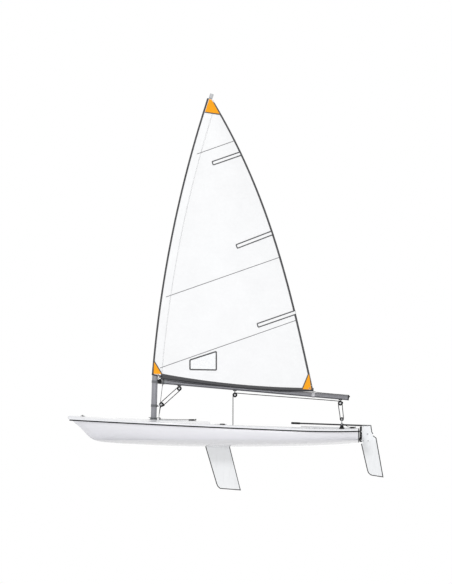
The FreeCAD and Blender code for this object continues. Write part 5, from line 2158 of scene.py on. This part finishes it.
# ---- studio
@dataclass
class Studio:
    """Floor at the waterline, soft light and the camera.

    Each lamp is its name, its strength, where it shines and its angle in degrees.
    """

    floor_half: float = 200.0
    floor_share: float = 0.5
    floor_colour: Colour = (0.94, 0.944, 0.948)
    ambient: float = 0.69
    scale: float = 8.4096
    camera_at: Triple = (0.0072, 12.0, 2.131)
    lamps: tuple[tuple[str, float, Triple, float], ...] = (
        ("key", 0.70, (-0.25, -0.82, -0.50), 12),
        ("low_fill", 0.70, (0.10, -0.80, 0.50), 20),
        ("back_fill", 0.50, (0.45, 0.65, -0.62), 20),
    )

    def floor(self) -> None:
        """Plain pale floor that lets some of what is below it show."""
        deselect()
        bpy.ops.mesh.primitive_plane_add(size=2 * self.floor_half, location=(0, 0, 0))
        floor = bpy.context.object
        floor.name = "floor"
        floor.visible_shadow = False
        graph = Graph(bpy.data.materials.new("pale_floor"))
        graph.set(Base_Color=graph.tones(graph.noise(0.6), self.floor_colour, 0.01), Roughness=0.9)
        share = graph.node("ShaderNodeLightPath", output="Is Camera Ray") * (1 - self.floor_share)
        solid, clear = Sock(graph, graph.shader.outputs[0]), graph.node("ShaderNodeBsdfTransparent")
        mixed = graph.node("ShaderNodeMixShader", None, {0: share, 1: solid, 2: clear})
        graph.feed(graph.output.inputs[0], mixed)
        floor.data.materials.append(graph.owner)

    def world(self) -> None:
        """White background, and soft light that is a little stronger from above."""
        graph = Graph(bpy.data.worlds.new("studio"))
        bpy.context.scene.world = graph.owner
        rays = graph.node("ShaderNodeLightPath", output="Is Camera Ray")
        outputs = rays.socket.node.outputs
        seen = rays | Sock(graph, outputs["Is Glossy Ray"]) | Sock(graph, outputs["Is Transmission Ray"])
        up = graph.split(graph.node("ShaderNodeTexCoord", output="Generated"))[2]
        low, high = self.ambient * 0.86, self.ambient * 1.10
        soft = graph.mix(up.rise(-0.8, 0.9), (low, low, low, 1.0), (high, high, high * 1.01, 1.0))
        graph.feed(graph.shader.inputs["Color"], graph.mix(seen, soft, (1.0, 1.0, 1.0, 1.0)))

    def light(self) -> None:
        """Sun lamps, each shining along its heading."""
        for name, strength, heading, angle in self.lamps:
            data = bpy.data.lights.new(name, "SUN")
            data.energy = strength
            data.angle = math.radians(angle)
            lamp = bpy.data.objects.new(name, data)
            lamp.rotation_euler = Vector(heading).to_track_quat("-Z", "Y").to_euler()
            bpy.context.scene.collection.objects.link(lamp)

    def camera(self) -> None:
        """Camera square to the port side, at the middle of the picture."""
        data = bpy.data.cameras.new("camera")
        data.type = "ORTHO"
        data.ortho_scale = self.scale
        camera = bpy.data.objects.new("camera", data)
        camera.location = self.camera_at
        camera.rotation_euler = (math.pi / 2, 0, math.pi)
        bpy.context.scene.collection.objects.link(camera)
        bpy.context.scene.camera = camera

    def build(self) -> None:
        """Set the whole studio up."""
        bpy.context.scene.view_settings.view_transform = "Standard"
        self.camera()
        self.world()
        self.floor()
        self.light()


def dress_nodes(frame: dict) -> None:
    """Give every CAD node that shows the finish of its slot in the record.
    """
    by_slot = {finish.slot: finish for finish in (
        SPAR, STEEL, GREY, PALE, BLACK, TRIM, HULL, DECK, HEAD_PAINT, BOARD_COAT, RUBBER, WEBBING, WHITE_CLOTH,
        TILLER_TUBE,
    )}
    own = {
        "rudder_blade": BLADE_COAT, "boom": BOOM_SPAR, "gooseneck": GOOSENECK, "vang_bracket": VANG_BAND,
        "grab_rail_port": BOOM_SPAR, "grab_rail_starboard": BOOM_SPAR,
    }
    for row in frame["record"]["subparts"]:
        name = row["node"]
        finish = own.get(name, by_slot[row["material_slot"]])
        coloured(frame["nodes"][name], finish)
        LOG.info("node %s: %s", name, finish.name)


def main() -> None:
    """Build the dinghy's looks round its frame."""
    logging.basicConfig(level=logging.INFO, format="%(message)s")
    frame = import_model()
    nodes = frame["nodes"]
    Studio().build()
    dress_nodes(frame)
    for group in (HullDress(nodes), RudderDress(), SparDress(), SailDress(), Tackle(nodes), Blocks(nodes["deck"])):
        for piece in group.build():
            LOG.info("%s: %d faces", piece.name, len(piece.data.polygons))


if __name__ == "__main__":
    main()
